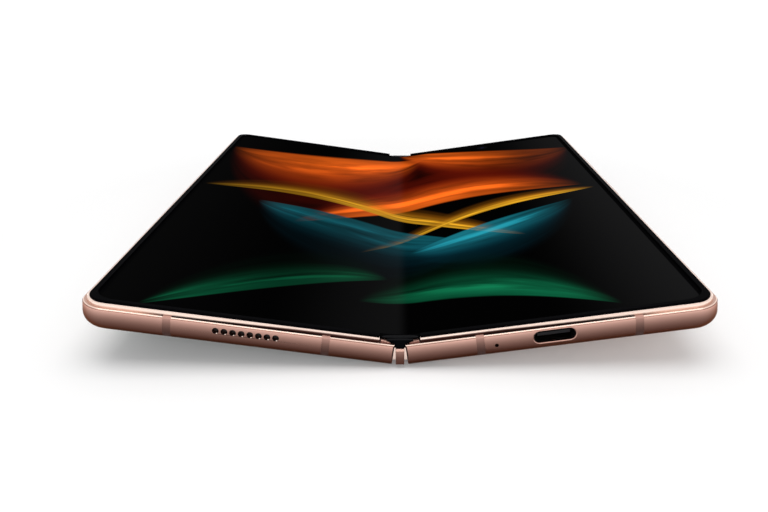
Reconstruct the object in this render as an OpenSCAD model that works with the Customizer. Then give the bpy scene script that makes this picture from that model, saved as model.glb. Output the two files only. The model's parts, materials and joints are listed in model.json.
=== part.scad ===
// Book-style folding phone: two thin halves that turn on a double hinge hidden in a
// C-shaped spine. It rests in a shallow V with the wide inner display upwards.
//
// X runs across the fold, Y along it, Z up. The origin is at the middle of the
// underside. Each half is drawn flat, outwards from the fold along +X, with the
// display plane at z = 0, and is then tilted about its own hinge axis.

/* [Body] */
// Length of the body along the hinge
body_len = 159.2; // [150:0.2:170]
// Reach of one half from the middle of the fold to its outer edge
half_w = 64.1; // [58:0.1:72]
// Thickness of a half below the display plane
half_t = 6; // [5.8:0.1:6.6]
// Plan radius of the outer corners
corner_r = 5.5; // [4.5:0.1:7]
// Radius of the rounded lower edge
edge_r = 3.2; // [2.6:0.1:3.6]
// Height of the side wall's top edge below the display plane
rim_drop = 0.6; // [0.5:0.05:0.8]
// Polished bevel on the side wall's top edge
rim_bevel = 0.3; // [0.15:0.05:0.4]
// Thickness of the frame's side walls
wall = 2.2; // [1.8:0.1:3]
// Thickness of the plate that carries the display
mid_plate_t = 0.7; // [0.5:0.05:0.9]

/* [Fold] */
// Distance of each hinge axis from the middle of the fold
axis_u = 2.4; // [2.3:0.05:2.6]
// Tilt of each half in the resting V
rest_tilt = 8; // [4:1:16]
// Distance of a half's hinge edge from the middle
hinge_edge = 0.95; // [0.9:0.05:1.2]
// Radius of the pocket that takes the spine
pocket_r = 5.25; // [5.1:0.05:5.3]
// Radial gap between spine and pocket
spine_gap = 0.1; // [0.08:0.01:0.2]
// Wall of the spine
spine_wall = 0.5; // [0.4:0.05:0.6]
// Angle by which the spine's lips stop short of the display plane
lip_angle = 14.5; // [14:0.5:18]
// Gap between two pieces that fold past each other at the hinge ends
fold_gap = 0.1; // [0.08:0.01:0.15]

/* [Display] */
// Thickness of the inner display
display_t = 0.45; // [0.35:0.05:0.5]
// Thickness of the steel plate under the display
support_t = 0.2; // [0.1:0.05:0.25]
// Distance from the middle at which the rigid part of the display starts
fold_reach = 4; // [3.6:0.1:4.4]
// Inset of the lip round the display from the side of the body
bezel_inset = 0.9; // [0.8:0.05:1.3]
// Thickness of the metal lip outside the bezel
lip_w = 0.4; // [0.3:0.05:0.6]
// Height of that lip above the display plane
lip_h = 0.25; // [0.15:0.05:0.5]
// Width of the bezel
bezel_w = 1.3; // [1:0.05:2]
// Height of the bezel above the display plane
bezel_h = 0.6; // [0.5:0.05:0.9]
// Height of the ledge that carries the bezel, above the display plane
ledge_h = 0.1; // [0.05:0.05:0.2]
// Diameter of the inner camera's window
inner_camera_d = 4.2; // [3:0.1:5]

/* [Back] */
// Thickness of the back and cover glasses
glass_t = 0.8; // [0.6:0.05:1]
// Inset of the glasses from the sides of the body
glass_inset = 1.7; // [1.4:0.1:2.4]
// Metal band between the hinge edge and the glass
hinge_band = 3.8; // [3.4:0.1:6]
// Gap round each glass
glass_gap = 0.06; // [0.04:0.01:0.1]
// Inset of the cover display's black area within its glass
cover_border = 3; // [2:0.5:6]
// Diameter of the cover camera's window
cover_camera_d = 4; // [3:0.1:5]

/* [Rear cameras] */
// Width of the camera housing
camera_w = 21.5; // [19:0.5:24]
// Length of the camera housing
camera_len = 43; // [42:0.5:50]
// Plan radius of the camera housing
camera_r = 5.2; // [4:0.1:6]
// Height of the camera housing above the back
camera_h = 1.9; // [1.5:0.1:2.2]
// Width of its metal rim
camera_rim = 1.1; // [0.8:0.1:1.4]
// Distance of the camera housing from the outer side
camera_side = 8.4; // [7:0.1:10]
// Distance of the camera housing from the upper end
camera_end = 5; // [4.5:0.1:8]
// Diameter of the rings round the lenses
lens_ring_d = 9.6; // [9:0.2:11]
// Distance of the first and the last lens from the ends of the housing
lens_margin = 8; // [7.4:0.1:9]
// Diameter of the flash window
flash_d = 3.6; // [3:0.1:4.5]

/* [Ports] */
// Width of the connector opening
usb_w = 8.4; // [8.3:0.05:9]
// Height of the connector opening
usb_h = 2.6; // [2.5:0.05:3]
// Place of the connector along the right half's lower end
usb_u = 30.6; // [26:0.1:44]
// Depth of the connector
usb_depth = 7; // [6:0.1:8]
// Diameter of a speaker hole
speaker_hole_d = 1.1; // [0.8:0.05:1.3]
// Distance between two speaker holes
speaker_pitch = 1.7; // [1.5:0.05:2]
// Number of speaker holes in a row
speaker_holes = 8; // [6:1:8]
// Diameter of a microphone hole
mic_d = 0.8; // [0.6:0.05:1]
// Width of an antenna band
antenna_w = 1.6; // [1:0.1:2]
// Depth of an antenna band
antenna_depth = 0.8; // [0.5:0.1:1]

/* [Keys and tray] */
// Length of the power key
power_len = 17; // [12:0.5:22]
// Length of the volume key
volume_len = 22; // [16:0.5:26]
// Height of the keys
key_h = 1.9; // [1.6:0.1:2.1]
// How far the keys stand out of the side
key_proud = 0.45; // [0.35:0.05:0.6]
// Gap round the keys and the tray's face
key_gap = 0.1; // [0.06:0.01:0.15]
// Length of the tray's face
tray_len = 15.6; // [14:0.2:18]
// Height of the tray's face
tray_h = 1.7; // [1.4:0.1:1.9]
// Depth of the tray
tray_depth = 20; // [16:0.5:22]

/* [Hinge works] */
// Inner radius of the arc tongues
tongue_in = 3.4; // [3.35:0.05:3.5]
// Outer radius of the arc tongues
tongue_out = 4.15; // [4:0.05:4.2]
// Width of a tongue along the hinge
tongue_w = 3; // [2.4:0.1:4]
// Running gap of tongues, gears and shafts
run_gap = 0.06; // [0.04:0.01:0.08]
// Distance of the guide brackets from the middle
guide_y = 52; // [40:1:60]
// Thickness of the leaf that joins a tongue to its half
leaf_t = 0.4; // [0.3:0.05:0.45]
// Reach of that leaf from the middle
leaf_reach = 15; // [13.5:0.1:16]
// Module of the gears
gear_m = 0.2; // [0.2]
// Teeth of a pinion
pinion_teeth = 8; // [8]
// Teeth on the full circle of a toothed tongue
ring_teeth = 32; // [32]
// Width of the row of gears
gear_w = 2.4; // [2:0.1:3]
// Thickness of the gear bracket's plates
plate_t = 0.8; // [0.6:0.1:1]
// Radius of the gear shafts
shaft_r = 0.35; // [0.3:0.01:0.4]
// Diameter of the small screws
screw_d = 1.2; // [1:0.1:1.4]

/* [Hidden] */
$fn = 48;
eps = 0.01;

// Heights in a half, from the display plane down
mid_top = -display_t - support_t;
mid_low = mid_top - mid_plate_t;
back_in = -half_t + glass_t;
half_len = body_len / 2;
end_in = half_len - wall;

// The rounded hinge-side corner is the lowest point of the resting V
corner_chamfer = 0.3;
lift = max((axis_u - hinge_edge) * sin(rest_tilt) + (half_t - corner_chamfer) * cos(rest_tilt),
           (axis_u - hinge_edge - corner_chamfer) * sin(rest_tilt) + half_t * cos(rest_tilt));

// Spine
spine_r = pocket_r - spine_gap;
channel_r = spine_r - spine_wall;
lip_top = -spine_r * sin(lip_angle);
spine_end = end_in - fold_gap;
spine_wall_end = 0.8;

// Seats of the bezel and the display
ledge_w = 1;
display_inset = bezel_inset + ledge_w;
bezel_out = bezel_inset + lip_w;
lip_bevel = 0.2;
display_reach = half_w - display_inset;
display_end = half_len - display_inset;
display_r = corner_r - display_inset;
wing_edge = 1.6;
wing_notch_u = fold_reach + 1.3;
fold_t = display_t - 0.05;
rail_u = leaf_reach + 1;
room_r = 1.5;

// Frame colours
bronze = [0.72, 0.50, 0.43];
bright = [0.86, 0.66, 0.58];
black = [0.05, 0.05, 0.05];
steel = [0.70, 0.70, 0.72];
glass_bronze = [0.62, 0.45, 0.40];

// ---- Placing ----

module on_spine() translate([0, 0, lift]) children();

module on_right()
    translate([axis_u, 0, lift]) rotate([0, -rest_tilt, 0]) translate([-axis_u, 0, 0]) children();

module on_left() mirror([1, 0, 0]) on_right() children();

// Extrudes a section drawn in X and Z along Y, from y0 to y1
module along_y(y0, y1) translate([0, y1, 0]) rotate([90, 0, 0]) linear_extrude(y1 - y0) children();

module both_ends() {
    children();
    mirror([0, 1, 0]) children();
}

module box(u0, u1, y0, y1, z0, z1) translate([u0, y0, z0]) cube([u1 - u0, y1 - y0, z1 - z0]);

// ---- Outlines ----

// Rectangle with round corners on its outer side and radius r_in on the hinge side
module outline(u0, u1, y0, y1, r, r_in = 0) {
    union() {
        translate([u0 + r_in, y0]) square([u1 - r - u0 - r_in, y1 - y0]);
        translate([u1 - r - eps, y0 + r]) square([r + eps, y1 - y0 - 2 * r]);
        for (y = [y0 + r, y1 - r]) translate([u1 - r, y]) circle(r);
        if (r_in > 0) {
            translate([u0, y0 + r_in]) square([r_in + eps, y1 - y0 - 2 * r_in]);
            for (y = [y0 + r_in, y1 - r_in]) translate([u0 + r_in, y]) circle(r_in);
        }
    }
}

// Plate of a half, inset from the body's sides, from height z0 to z1
module half_plate(inset, z0, z1, from = hinge_edge)
    translate([0, 0, z0]) linear_extrude(z1 - z0)
        outline(from, half_w - inset, -half_len + inset, half_len - inset, max(corner_r - inset, 1));

// Section of the side wall: rounded below, bevelled above
module side_section(inset, top, bevel) {
    reach = corner_r - inset;
    low = -half_t + inset;
    r = edge_r - inset;
    difference() {
        intersection() {
            union() {
                translate([0, low + r]) square([reach, top - low - r]);
                translate([0, low]) square([reach - r, r + eps]);
                translate([reach - r, low + r]) circle(r);
            }
            translate([0, low]) square([reach, top - low]);
        }
        if (bevel > 0)
            polygon([[reach - bevel, top + eps], [reach + eps, top + eps], [reach + eps, top - bevel - eps]]);
    }
}

// Sweeps that section round a half and fills the middle
module half_body(inset, top, bevel, from = hinge_edge) {
    side = half_w - corner_r;
    end = half_len - corner_r;
    low = -half_t + inset;
    translate([side, end, 0]) rotate_extrude(angle = 90) side_section(inset, top, bevel);
    translate([side, -end, 0]) rotate([0, 0, -90]) rotate_extrude(angle = 90)
        side_section(inset, top, bevel);
    translate([side, end, 0]) rotate([90, 0, 0]) linear_extrude(2 * end) side_section(inset, top, bevel);
    both_ends()
        translate([from, end, 0]) rotate([90, 0, 90]) linear_extrude(side - from)
            side_section(inset, top, bevel);
    box(from, side, -end, end, low, top);
}

// ---- Spine ----

module channel_section(r, top) intersection() {
    union() {
        for (x = [-axis_u, axis_u]) translate([x, 0]) circle(r);
        translate([-axis_u, -r]) square([2 * axis_u, r]);
    }
    translate([-axis_u - r, -r]) square([2 * (axis_u + r), r + top]);
}

module hinge_cover() color(bright) on_spine() {
    along_y(-spine_end, spine_end) difference() {
        channel_section(spine_r, lip_top);
        channel_section(channel_r, lip_top + 1);
    }
    both_ends() along_y(spine_end - spine_wall_end, spine_end) channel_section(channel_r + eps, lip_top);
}

// Narrow bronze pieces that fill the gap between the two halves at each end
cap_half_w = hinge_edge - fold_gap;
cap_top = -1.85;
cap_inset = 0.35;

module hinge_end_caps() color(bronze) on_spine() both_ends() difference() {
    box(-cap_half_w, cap_half_w, spine_end, half_len - cap_inset, -spine_r, cap_top);
    translate([0, half_len - cap_inset, cap_top]) rotate([45, 0, 0]) cube([2, 0.5, 0.5], center = true);
}

// Dark caps over the ends of the folding display, shaped to the frames' shoulders
ear_r = 1.4;
ear_u = 2.6;
ear_top = -0.3;
ear_reach = fold_reach - 0.2;
tee_bar = 0.15;
tee_low = -1.7;
tee_inset = bezel_inset + 0.05;

module tee_section() difference() {
    union() {
        translate([-ear_u, -tee_bar]) square([2 * ear_u, tee_bar]);
        translate([-axis_u, tee_low]) square([2 * axis_u, -tee_low]);
    }
    for (s = [-1, 1]) {
        translate([s * ear_u, ear_top - ear_r]) circle(ear_r + fold_gap);
        translate([s * (ear_u + hinge_edge - fold_gap) - ear_u, tee_low - eps])
            square([2 * ear_u, ear_top - ear_r - tee_low + 2 * eps]);
    }
}

// The inner end of each cap is cut away under the folding display
module tee_caps() color(black) on_spine() both_ends() difference() {
    along_y(spine_end, half_len - tee_inset) tee_section();
    box(-ear_u - 1, ear_u + 1, 0, display_end + fold_gap, -fold_t - fold_gap, 1);
}

// ---- Gears ----

pressure_angle = 28;
gear_play = 0.04;
addendum = 0.8 * gear_m;
dedendum = 1.05 * gear_m;
pinion_r = gear_m * pinion_teeth / 2;
ring_r = gear_m * ring_teeth / 2;
// The pinion runs inside the toothed tongue; six equal gears span the spine in a row
gear_pitch = 2 * pinion_r;
pinion_u = 2.5 * gear_pitch;
mesh_angle = -acos((pinion_u - axis_u) / (ring_r - pinion_r));
gear_z = (ring_r - pinion_r) * sin(mesh_angle);
tip_r = pinion_r + addendum;
ring_tip_r = ring_r - addendum;

function involute(a) = tan(a) * 180 / PI - a;

// Half the angle that a tooth covers at radius r
function tooth_half(n, r, play) =
    let (pitch = gear_m * n / 2, base = pitch * cos(pressure_angle))
    90 / n - play / 4 / pitch * 180 / PI + involute(pressure_angle)
    - (r > base ? involute(acos(base / r)) : 0);

// Outline of a spur gear with n teeth, rooted at r0 and tipped at r1
function gear_points(n, r0, r1, play, steps = 4) =
    let (base = gear_m * n / 2 * cos(pressure_angle), r_start = max(r0, base))
    [for (k = [0:n - 1]) let (at = k * 360 / n)
        each concat(
            r0 < r_start ? [polar(r0, at - tooth_half(n, r_start, play))] : [],
            [for (i = [0:steps]) let (r = r_start + (r1 - r_start) * i / steps)
                polar(r, at - tooth_half(n, r, play))],
            [for (i = [steps:-1:0]) let (r = r_start + (r1 - r_start) * i / steps)
                polar(r, at + tooth_half(n, r, play))],
            r0 < r_start ? [polar(r0, at + tooth_half(n, r_start, play))] : [])];

function polar(r, a) = [r * cos(a), r * sin(a)];

half_step = 180 / pinion_teeth;
row_end = gear_w / 2;
plate_in = row_end + run_gap;
slice_in = plate_in + plate_t + run_gap;
slice_out = slice_in + tongue_w;
outer_plate = slice_out + run_gap;

// One gear of the row at x = u, turned by phase, from y0 to y1, on a shaft
module row_gear(u, phase, y0, y1, shaft0, shaft1) translate([u, 0, gear_z]) {
    along_y(y0, y1) rotate(phase) polygon(gear_points(pinion_teeth, pinion_r - dedendum, tip_r, gear_play));
    along_y(shaft0, y0 + eps) circle(shaft_r);
    along_y(y1 - eps, shaft1) circle(shaft_r);
}

shaft_end_gap = 0.1;
row_shaft = plate_in + plate_t - shaft_end_gap;
pinion_shaft = outer_plate + plate_t;

module right_pinion() color(steel) on_spine()
    row_gear(pinion_u, 0, -row_end, slice_out, -row_shaft, pinion_shaft);
module right_mid_gear() color(steel) on_spine()
    row_gear(pinion_u - gear_pitch, half_step, -row_end, row_end, -row_shaft, row_shaft);
module right_inner_gear() color(steel) on_spine()
    row_gear(gear_pitch / 2, 0, -row_end, row_end, -row_shaft, row_shaft);
module left_inner_gear() color(steel) on_spine()
    row_gear(-gear_pitch / 2, half_step, -row_end, row_end, -row_shaft, row_shaft);
module left_mid_gear() color(steel) on_spine()
    row_gear(gear_pitch - pinion_u, 0, -row_end, row_end, -row_shaft, row_shaft);
module left_pinion() color(steel) on_spine()
    row_gear(-pinion_u, half_step, -slice_out, row_end, -pinion_shaft, row_shaft);

// ---- Brackets on the spine ----

bracket_top = -0.95;
gear_screw_z = gear_z - tip_r - run_gap - 0.5;
bracket_reach = 5;
screw_r = screw_d / 2;

module bracket_section() {
    channel_section(channel_r, lip_top);
    translate([-bracket_reach, lip_top - eps]) square([2 * bracket_reach, bracket_top - lip_top + eps]);
}

// Plate with bearings for the shafts; a notch lets one pinion through
module bearing_plate(y0, holes, notch = 0) difference() {
    along_y(y0, y0 + plate_t) bracket_section();
    for (x = holes) translate([x, 0, gear_z]) along_y(y0 - eps, y0 + plate_t + eps) circle(shaft_r + run_gap);
    if (notch != 0) {
        translate([notch, 0, gear_z]) along_y(y0 - eps, y0 + plate_t + eps) circle(tip_r + run_gap);
        box(notch > 0 ? notch - tip_r - run_gap : -bracket_reach - 1,
            notch > 0 ? bracket_reach + 1 : notch + tip_r + run_gap,
            y0 - eps, y0 + plate_t + eps, gear_z, bracket_top + eps);
    }
}

// Floor below a toothed tongue on side s, from y0 to y1
module tongue_floor(s, y0, y1) along_y(y0 - eps, y1 + eps) difference() {
    channel_section(channel_r, lip_top);
    translate([s * axis_u, 0]) circle(tongue_out + run_gap);
}

row_x = [for (i = [-2.5:1:2.5]) i * gear_pitch];

module gear_bracket() color(steel) on_spine() difference() {
    union() {
        bearing_plate(plate_in, [for (i = [0:4]) row_x[i]], pinion_u);
        bearing_plate(-plate_in - plate_t, [for (i = [1:5]) row_x[i]], -pinion_u);
        bearing_plate(outer_plate, [pinion_u]);
        bearing_plate(-outer_plate - plate_t, [-pinion_u]);
        tongue_floor(1, plate_in + plate_t, outer_plate);
        tongue_floor(-1, -outer_plate, -plate_in - plate_t);
        along_y(-plate_in - eps, plate_in + eps) intersection() {
            channel_section(channel_r, lip_top);
            translate([-axis_u - channel_r, -channel_r])
                square([2 * (axis_u + channel_r), channel_r + gear_z - tip_r - run_gap]);
        }
    }
    gear_screw_places() {
        translate([0, 0, -channel_r - 1]) cylinder(r = screw_r + 0.02, h = 4);
        translate([0, 0, gear_screw_z]) cylinder(r = screw_r * 1.6 + 0.05, h = 4);
    }
}

module gear_screw_places() for (x = [-1.6, 1.6]) translate([x, 0, 0]) children();

// The tongues of the two sides lie side by side in one bracket
tongue_y = tongue_w / 2 + 0.6;
guide_w = 2 * (tongue_y + tongue_w / 2 + 1.4);
tongue_tail = 217;

module guide_screw_places() for (s = [-1, 1], e = [-1, 1])
    translate([0, s * guide_y + e * (guide_w / 2 + 1.6), 0]) children();

module guide_brackets() color(steel) on_spine() difference() {
    for (s = [-1, 1]) {
        along_y(s * guide_y - guide_w / 2, s * guide_y + guide_w / 2) channel_section(channel_r, lip_top);
        box(-2.2, 2.2, s * guide_y - guide_w / 2 - 3.2, s * guide_y + guide_w / 2 + 3.2,
            -channel_r, -channel_r + 1.1);
    }
    for (s = [-1, 1], side = [-1, 1]) {
        y = s * guide_y + side * tongue_y;
        along_y(y - tongue_w / 2 - run_gap, y + tongue_w / 2 + run_gap) difference() {
            translate([side * axis_u, 0]) circle(tongue_out + run_gap);
            translate([side * axis_u, 0]) circle(tongue_in - run_gap);
        }
    }
    guide_screw_places() translate([0, 0, -channel_r - 1]) cylinder(r = screw_r + 0.02, h = 4);
}

module small_screw(shank) {
    translate([0, 0, -shank]) cylinder(r = screw_r, h = shank + eps);
    difference() {
        cylinder(r = screw_r * 1.6, h = 0.4);
        translate([0, 0, 0.15]) cylinder(r = screw_r * 0.7, h = 1, $fn = 6);
    }
}

module bracket_screws() color(steel) on_spine() {
    guide_screw_places() translate([0, 0, -channel_r + 1.1]) small_screw(1.1);
    gear_screw_places() translate([0, 0, gear_screw_z]) small_screw(1);
}

// ---- Folding display ----

// Place in X and Z of a point of the right half, once that half is tilted
function tilted(u, z) = [axis_u + (u - axis_u) * cos(rest_tilt) - z * sin(rest_tilt),
                         (u - axis_u) * sin(rest_tilt) + z * cos(rest_tilt)];
function mirrored(p) = [-p[0], p[1]];

// Flat between the hinge axes, then tilted with both halves as far as their rigid panels
module display_fold() color(black) on_spine() along_y(-display_end, display_end) {
    bend = [axis_u + fold_t * tan(rest_tilt / 2), -fold_t];
    right = [[axis_u, 0], tilted(fold_reach, 0), tilted(fold_reach, -fold_t), bend];
    polygon(concat(right, [for (i = [3:-1:0]) mirrored(right[i])]));
}

// Ribbon cables that cross the spine in the free space between the brackets
ribbon_w = 14;
ribbon_t = 0.15;
ribbon_y = 26;

module flex_ribbons() color([0.75, 0.42, 0.12]) on_spine() both_ends()
    along_y(ribbon_y - ribbon_w / 2, ribbon_y + ribbon_w / 2) difference() {
        channel_section(channel_r - 0.2, lip_top - 0.6);
        channel_section(channel_r - 0.2 - ribbon_t, lip_top);
    }

// ---- Frames of the halves ----

tongue_hinge = [[1, guide_y + tongue_y], [1, -guide_y + tongue_y], [-1, guide_y - tongue_y],
                [-1, -guide_y - tongue_y]];
gear_tongue_y = (slice_in + slice_out) / 2;

// Places along the hinge of the tongues that belong to side s
function tongue_places(s) = concat([for (p = tongue_hinge) if (p[0] == s) p[1]], [s * gear_tongue_y]);

module pocket() {
    end = end_in;
    translate([axis_u, 0, 0]) along_y(-end, end) circle(pocket_r);
    box(-1, axis_u, -end, end, -pocket_r, 1);
    box(-1, axis_u + pocket_r, -end, end, mid_low, 1);
}

// Rounded shoulder of the end wall beside the dark cap, behind the outer skin
module shoulder_cut() both_ends() along_y(end_in - eps, half_len - bezel_inset) difference() {
    translate([-1, tee_low - 0.2]) square([fold_reach + 1, 3]);
    translate([ear_u, ear_top - ear_r]) circle(ear_r);
    translate([ear_u, tee_low - 1]) square([fold_reach - ear_u + eps, ear_top - tee_low + 1]);
    translate([ear_u - ear_r, tee_low - 1]) square([ear_r + 1, ear_top - ear_r - tee_low + 1]);
}

module frame_blank(s) difference() {
    union() {
        half_body(0, -rim_drop, rim_bevel);
        half_body(bezel_inset - 0.05, lip_h, lip_bevel, fold_reach + 0.1);
        both_ends() box(hinge_edge, ear_reach, end_in, half_len - bezel_inset, -rim_drop - eps, ear_top);
    }
    // seats of the bezel, the display and its support plate
    half_plate(bezel_out, ledge_h, 2, -1);
    half_plate(display_inset, mid_top, 2, -1);
    // room for battery and boards, open to the back
    translate([0, 0, -half_t - 1]) linear_extrude(half_t + 1 + mid_low)
        outline(rail_u, half_w - wall, -end_in, end_in, corner_r - wall + 1, room_r);
    glass_cut();
    pocket();
    shoulder_cut();
    for (y = tongue_places(s)) {
        box(axis_u, leaf_reach + 0.1, y - tongue_w / 2 - 0.1, y + tongue_w / 2 + 0.1, mid_top - leaf_t, 1);
        leaf_screw_places(y) translate([0, 0, -3.2]) cylinder(r = screw_r + 0.02, h = 4);
    }
    // small chamfer along the lower hinge edge
    translate([hinge_edge, 0, -half_t]) rotate([0, 45, 0])
        cube([corner_chamfer * sqrt(2), body_len + 2, corner_chamfer * sqrt(2)], center = true);
    for (y = [-half_len, half_len]) translate([hinge_edge, y, -half_t / 2]) rotate([0, 0, 45])
        cube([corner_chamfer * sqrt(2), corner_chamfer * sqrt(2), half_t + 2], center = true);
}

glass_u0 = hinge_edge + hinge_band;
glass_r = 5;

module glass_outline(gap = 0)
    outline(glass_u0 - gap, half_w - glass_inset + gap, -half_len + glass_inset - gap,
            half_len - glass_inset + gap, corner_r - glass_inset + 1 + gap, glass_r + gap);

module glass_cut() translate([0, 0, -half_t - 1]) linear_extrude(1 + glass_t)
    glass_outline(glass_gap);

module leaf_screw_places(y) for (u = [leaf_reach - 5, leaf_reach - 1.6]) translate([u, y, 0]) children();

// ---- Features of the end and side walls ----

antenna_u = [15.85, half_w - 16.8];
speaker_u = 24.55;
speaker_z = -2.2;
usb_z = -2.5;
mic_u = 19;
mic_z = -3;
key_z = -2.15;
usb_wall = 0.2;
usb_recess = 1;
power_y = 8;
volume_y = 35;
tray_y = -22;
tray_z = -2.3;
key_flange = 0.9;
key_travel = 0.3;

// Stadium outline centred on the origin, length along the first axis
module stadium(len, h) {
    square([len - h, h], center = true);
    for (x = [-1, 1]) translate([x * (len - h) / 2, 0]) circle(d = h);
}

// Extrudes a stadium into the lower end wall, from depth d0 to depth d1
module into_end(u, z, len, h, d0, d1)
    translate([u, -half_len + d0, z]) rotate([-90, 0, 0]) linear_extrude(d1 - d0) stadium(len, h);

// Extrudes a stadium along X between two reaches, centred at y and z
module in_side(u0, u1, y, z, len, h)
    translate([u0, y, z]) rotate([90, 0, 90]) linear_extrude(u1 - u0) stadium(len, h);

module hole_in_end(u, z, d, depth = wall + 1)
    translate([u, -half_len - 1, z]) rotate([-90, 0, 0]) cylinder(d = d, h = depth + 1);

module speaker_row() for (i = [0:speaker_holes - 1])
    hole_in_end(speaker_u + i * speaker_pitch, speaker_z, speaker_hole_d);

// Plastic bands that part the metal side wall; the same shape cuts their slots
module antenna_bands(us, grow = 0) intersection() {
    difference() {
        half_body(0, -rim_drop, rim_bevel);
        half_body(antenna_depth + grow, 1, 0, -1);
    }
    both_ends() for (u = us)
        box(u - antenna_w / 2 - grow, u + antenna_w / 2 + grow, end_in, half_len + 1,
            -half_t - 1 + 2 * glass_t + 0.2, 1);
}

camera_u = half_w - camera_side - camera_w / 2;
camera_y = half_len - camera_end - camera_len / 2;
lens_u = camera_u + 3.3;
lens_pitch = camera_len / 2 - lens_margin;
lens_y = [for (i = [-1:1]) camera_y + i * lens_pitch];
flash_u = camera_u - 5.9;
inner_camera_u = 32;
inner_camera_y = half_len - 5.9;

module camera_outline(inset)
    translate([camera_u, camera_y]) rounded(camera_w - 2 * inset, camera_len - 2 * inset, camera_r - inset);

module rounded(w, l, r) {
    square([w - 2 * r, l], center = true);
    square([w, l - 2 * r], center = true);
    for (x = [-1, 1], y = [-1, 1]) translate([x * (w / 2 - r), y * (l / 2 - r)]) circle(r);
}

module right_frame() color(bronze) on_right() difference() {
    frame_blank(1);
    into_end(usb_u, usb_z, usb_w, usb_h, -1, wall + 1);
    into_end(usb_u, usb_z, usb_w + 2 * usb_wall, usb_h + 2 * usb_wall, usb_recess,
             usb_recess + usb_depth + 0.1);
    inner_camera_hole(0);
    hole_in_end(mic_u, mic_z, mic_d);
    mirror([0, 1, 0]) hole_in_end(half_w - 9, mic_z, mic_d);
    for (k = [[power_y, power_len], [volume_y, volume_len]]) {
        in_side(half_w - wall - 1, half_w + 1, k[0], key_z, k[1] + 2 * key_gap, key_h + 2 * key_gap);
        in_side(half_w - wall - 1, half_w - wall + key_flange, k[0], key_z,
                k[1] + 2.4, key_h + 2 * key_gap);
    }
    antenna_bands(antenna_u, 0.01);
}

module left_frame() color(bronze) on_left() difference() {
    frame_blank(-1);
    both_ends() speaker_row();
    translate([0, 0, back_in - 1]) linear_extrude(1 + cover_panel_t) cover_panel_outline(0);
    in_side(half_w - wall - 1, half_w + 1, tray_y, tray_z, tray_len + 2 * key_gap, tray_h + 2 * key_gap);
    antenna_bands(left_antenna_u, 0.01);
}

left_antenna_u = [14.65, half_w - 18];

module right_antenna_bands() color([0.55, 0.38, 0.33]) on_right() antenna_bands(antenna_u);
module left_antenna_bands() color([0.55, 0.38, 0.33]) on_left() antenna_bands(left_antenna_u);

// ---- Bezels, display panels and their support plates ----

bezel_u0 = fold_reach + 0.15;
bezel_in = bezel_out + bezel_w;
bezel_bevel = 0.2;

module bezel() difference() {
    intersection() {
        half_body(bezel_out, bezel_h, bezel_bevel, bezel_u0);
        half_plate(0, 0, 2, 0);
    }
    translate([0, 0, -1]) linear_extrude(3)
        outline(-1, half_w - bezel_in, -half_len + bezel_in, half_len - bezel_in, corner_r - bezel_out);
    difference() {
        half_plate(0, -1, ledge_h, 0);
        half_plate(display_inset, -2, ledge_h + 1, 0);
    }
}

module right_bezel() color(black) on_right() bezel();
module left_bezel() color(black) on_left() bezel();

module display_panel() translate([0, 0, -display_t]) linear_extrude(display_t)
    outline(fold_reach, display_reach, -display_end, display_end, display_r);

module inner_camera_hole(grow) translate([inner_camera_u, inner_camera_y, -3])
    cylinder(d = inner_camera_d + grow, h = 4);

module right_display() color(black) on_right() difference() {
    display_panel();
    inner_camera_hole(0);
}
module left_display() color(black) on_left() display_panel();

module support_plate() difference() {
    translate([0, 0, mid_top]) linear_extrude(support_t)
        outline(wing_edge, display_reach, -display_end, display_end, display_r);
    box(0, wing_notch_u, -pinion_shaft - 0.5, pinion_shaft + 0.5, -2, 1);
    both_ends() box(0, fold_reach, spine_end - 0.2, half_len, -2, 1);
}

module right_support_plate() color(steel) on_right() difference() {
    support_plate();
    inner_camera_hole(0);
}
module left_support_plate() color(steel) on_left() support_plate();

// ---- Arc tongues ----

// Part of a ring between two angles, centred on the half's hinge axis
module arc_band(r0, r1, a0, a1) translate([axis_u, 0]) rotate(a0) intersection() {
    difference() {
        circle(r1);
        circle(r0);
    }
    reach = 3 * r1;
    polygon(concat([[0, 0]], [for (i = [0:4]) polar(reach, (a1 - a0) * i / 4)]));
}

module leaf(y) box(wing_notch_u + 0.1, leaf_reach, y - tongue_w / 2, y + tongue_w / 2,
                   mid_top - leaf_t, mid_top);

module plain_tongue(y) {
    along_y(y - tongue_w / 2, y + tongue_w / 2) arc_band(tongue_in, tongue_out, tongue_tail, 347);
    leaf(y);
}

// The toothed tongue drives the row of gears; phase is the angle of a tooth gap in this half
module toothed_tongue(y, phase) {
    along_y(y - tongue_w / 2, y + tongue_w / 2) difference() {
        arc_band(ring_tip_r, tongue_out, tongue_tail, 347);
        translate([axis_u, 0]) rotate(phase)
            polygon(gear_points(ring_teeth, ring_tip_r - 0.1, ring_r + dedendum, -gear_play));
    }
    leaf(y);
}

function gap_phase(pinion_phase) = mesh_angle + (pinion_phase - mesh_angle) / 4 - rest_tilt;

module tongue_set(s, phase) difference() {
    union() {
        for (p = tongue_hinge) if (p[0] == s) plain_tongue(p[1]);
        toothed_tongue(s * gear_tongue_y, phase);
    }
    for (y = tongue_places(s)) leaf_screw_places(y)
        translate([0, 0, -3]) cylinder(r = screw_r + 0.02, h = 4);
}

module right_tongues() color(steel) on_right() tongue_set(1, gap_phase(0));
module left_tongues() color(steel) on_left() tongue_set(-1, gap_phase(half_step));

// Countersunk flush with the leaf
module leaf_screws(s) for (y = tongue_places(s)) leaf_screw_places(y)
    translate([0, 0, -3.1]) cylinder(r = screw_r, h = 3.1 + mid_top);

module right_hinge_screws() color(steel) on_right() leaf_screws(1);
module left_hinge_screws() color(steel) on_left() leaf_screws(-1);

// ---- Back of the right half ----

module rounded_glass() intersection() {
    half_body(0, back_in, 0, 0);
    translate([0, 0, -half_t - 1]) linear_extrude(half_t) glass_outline();
}

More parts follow.
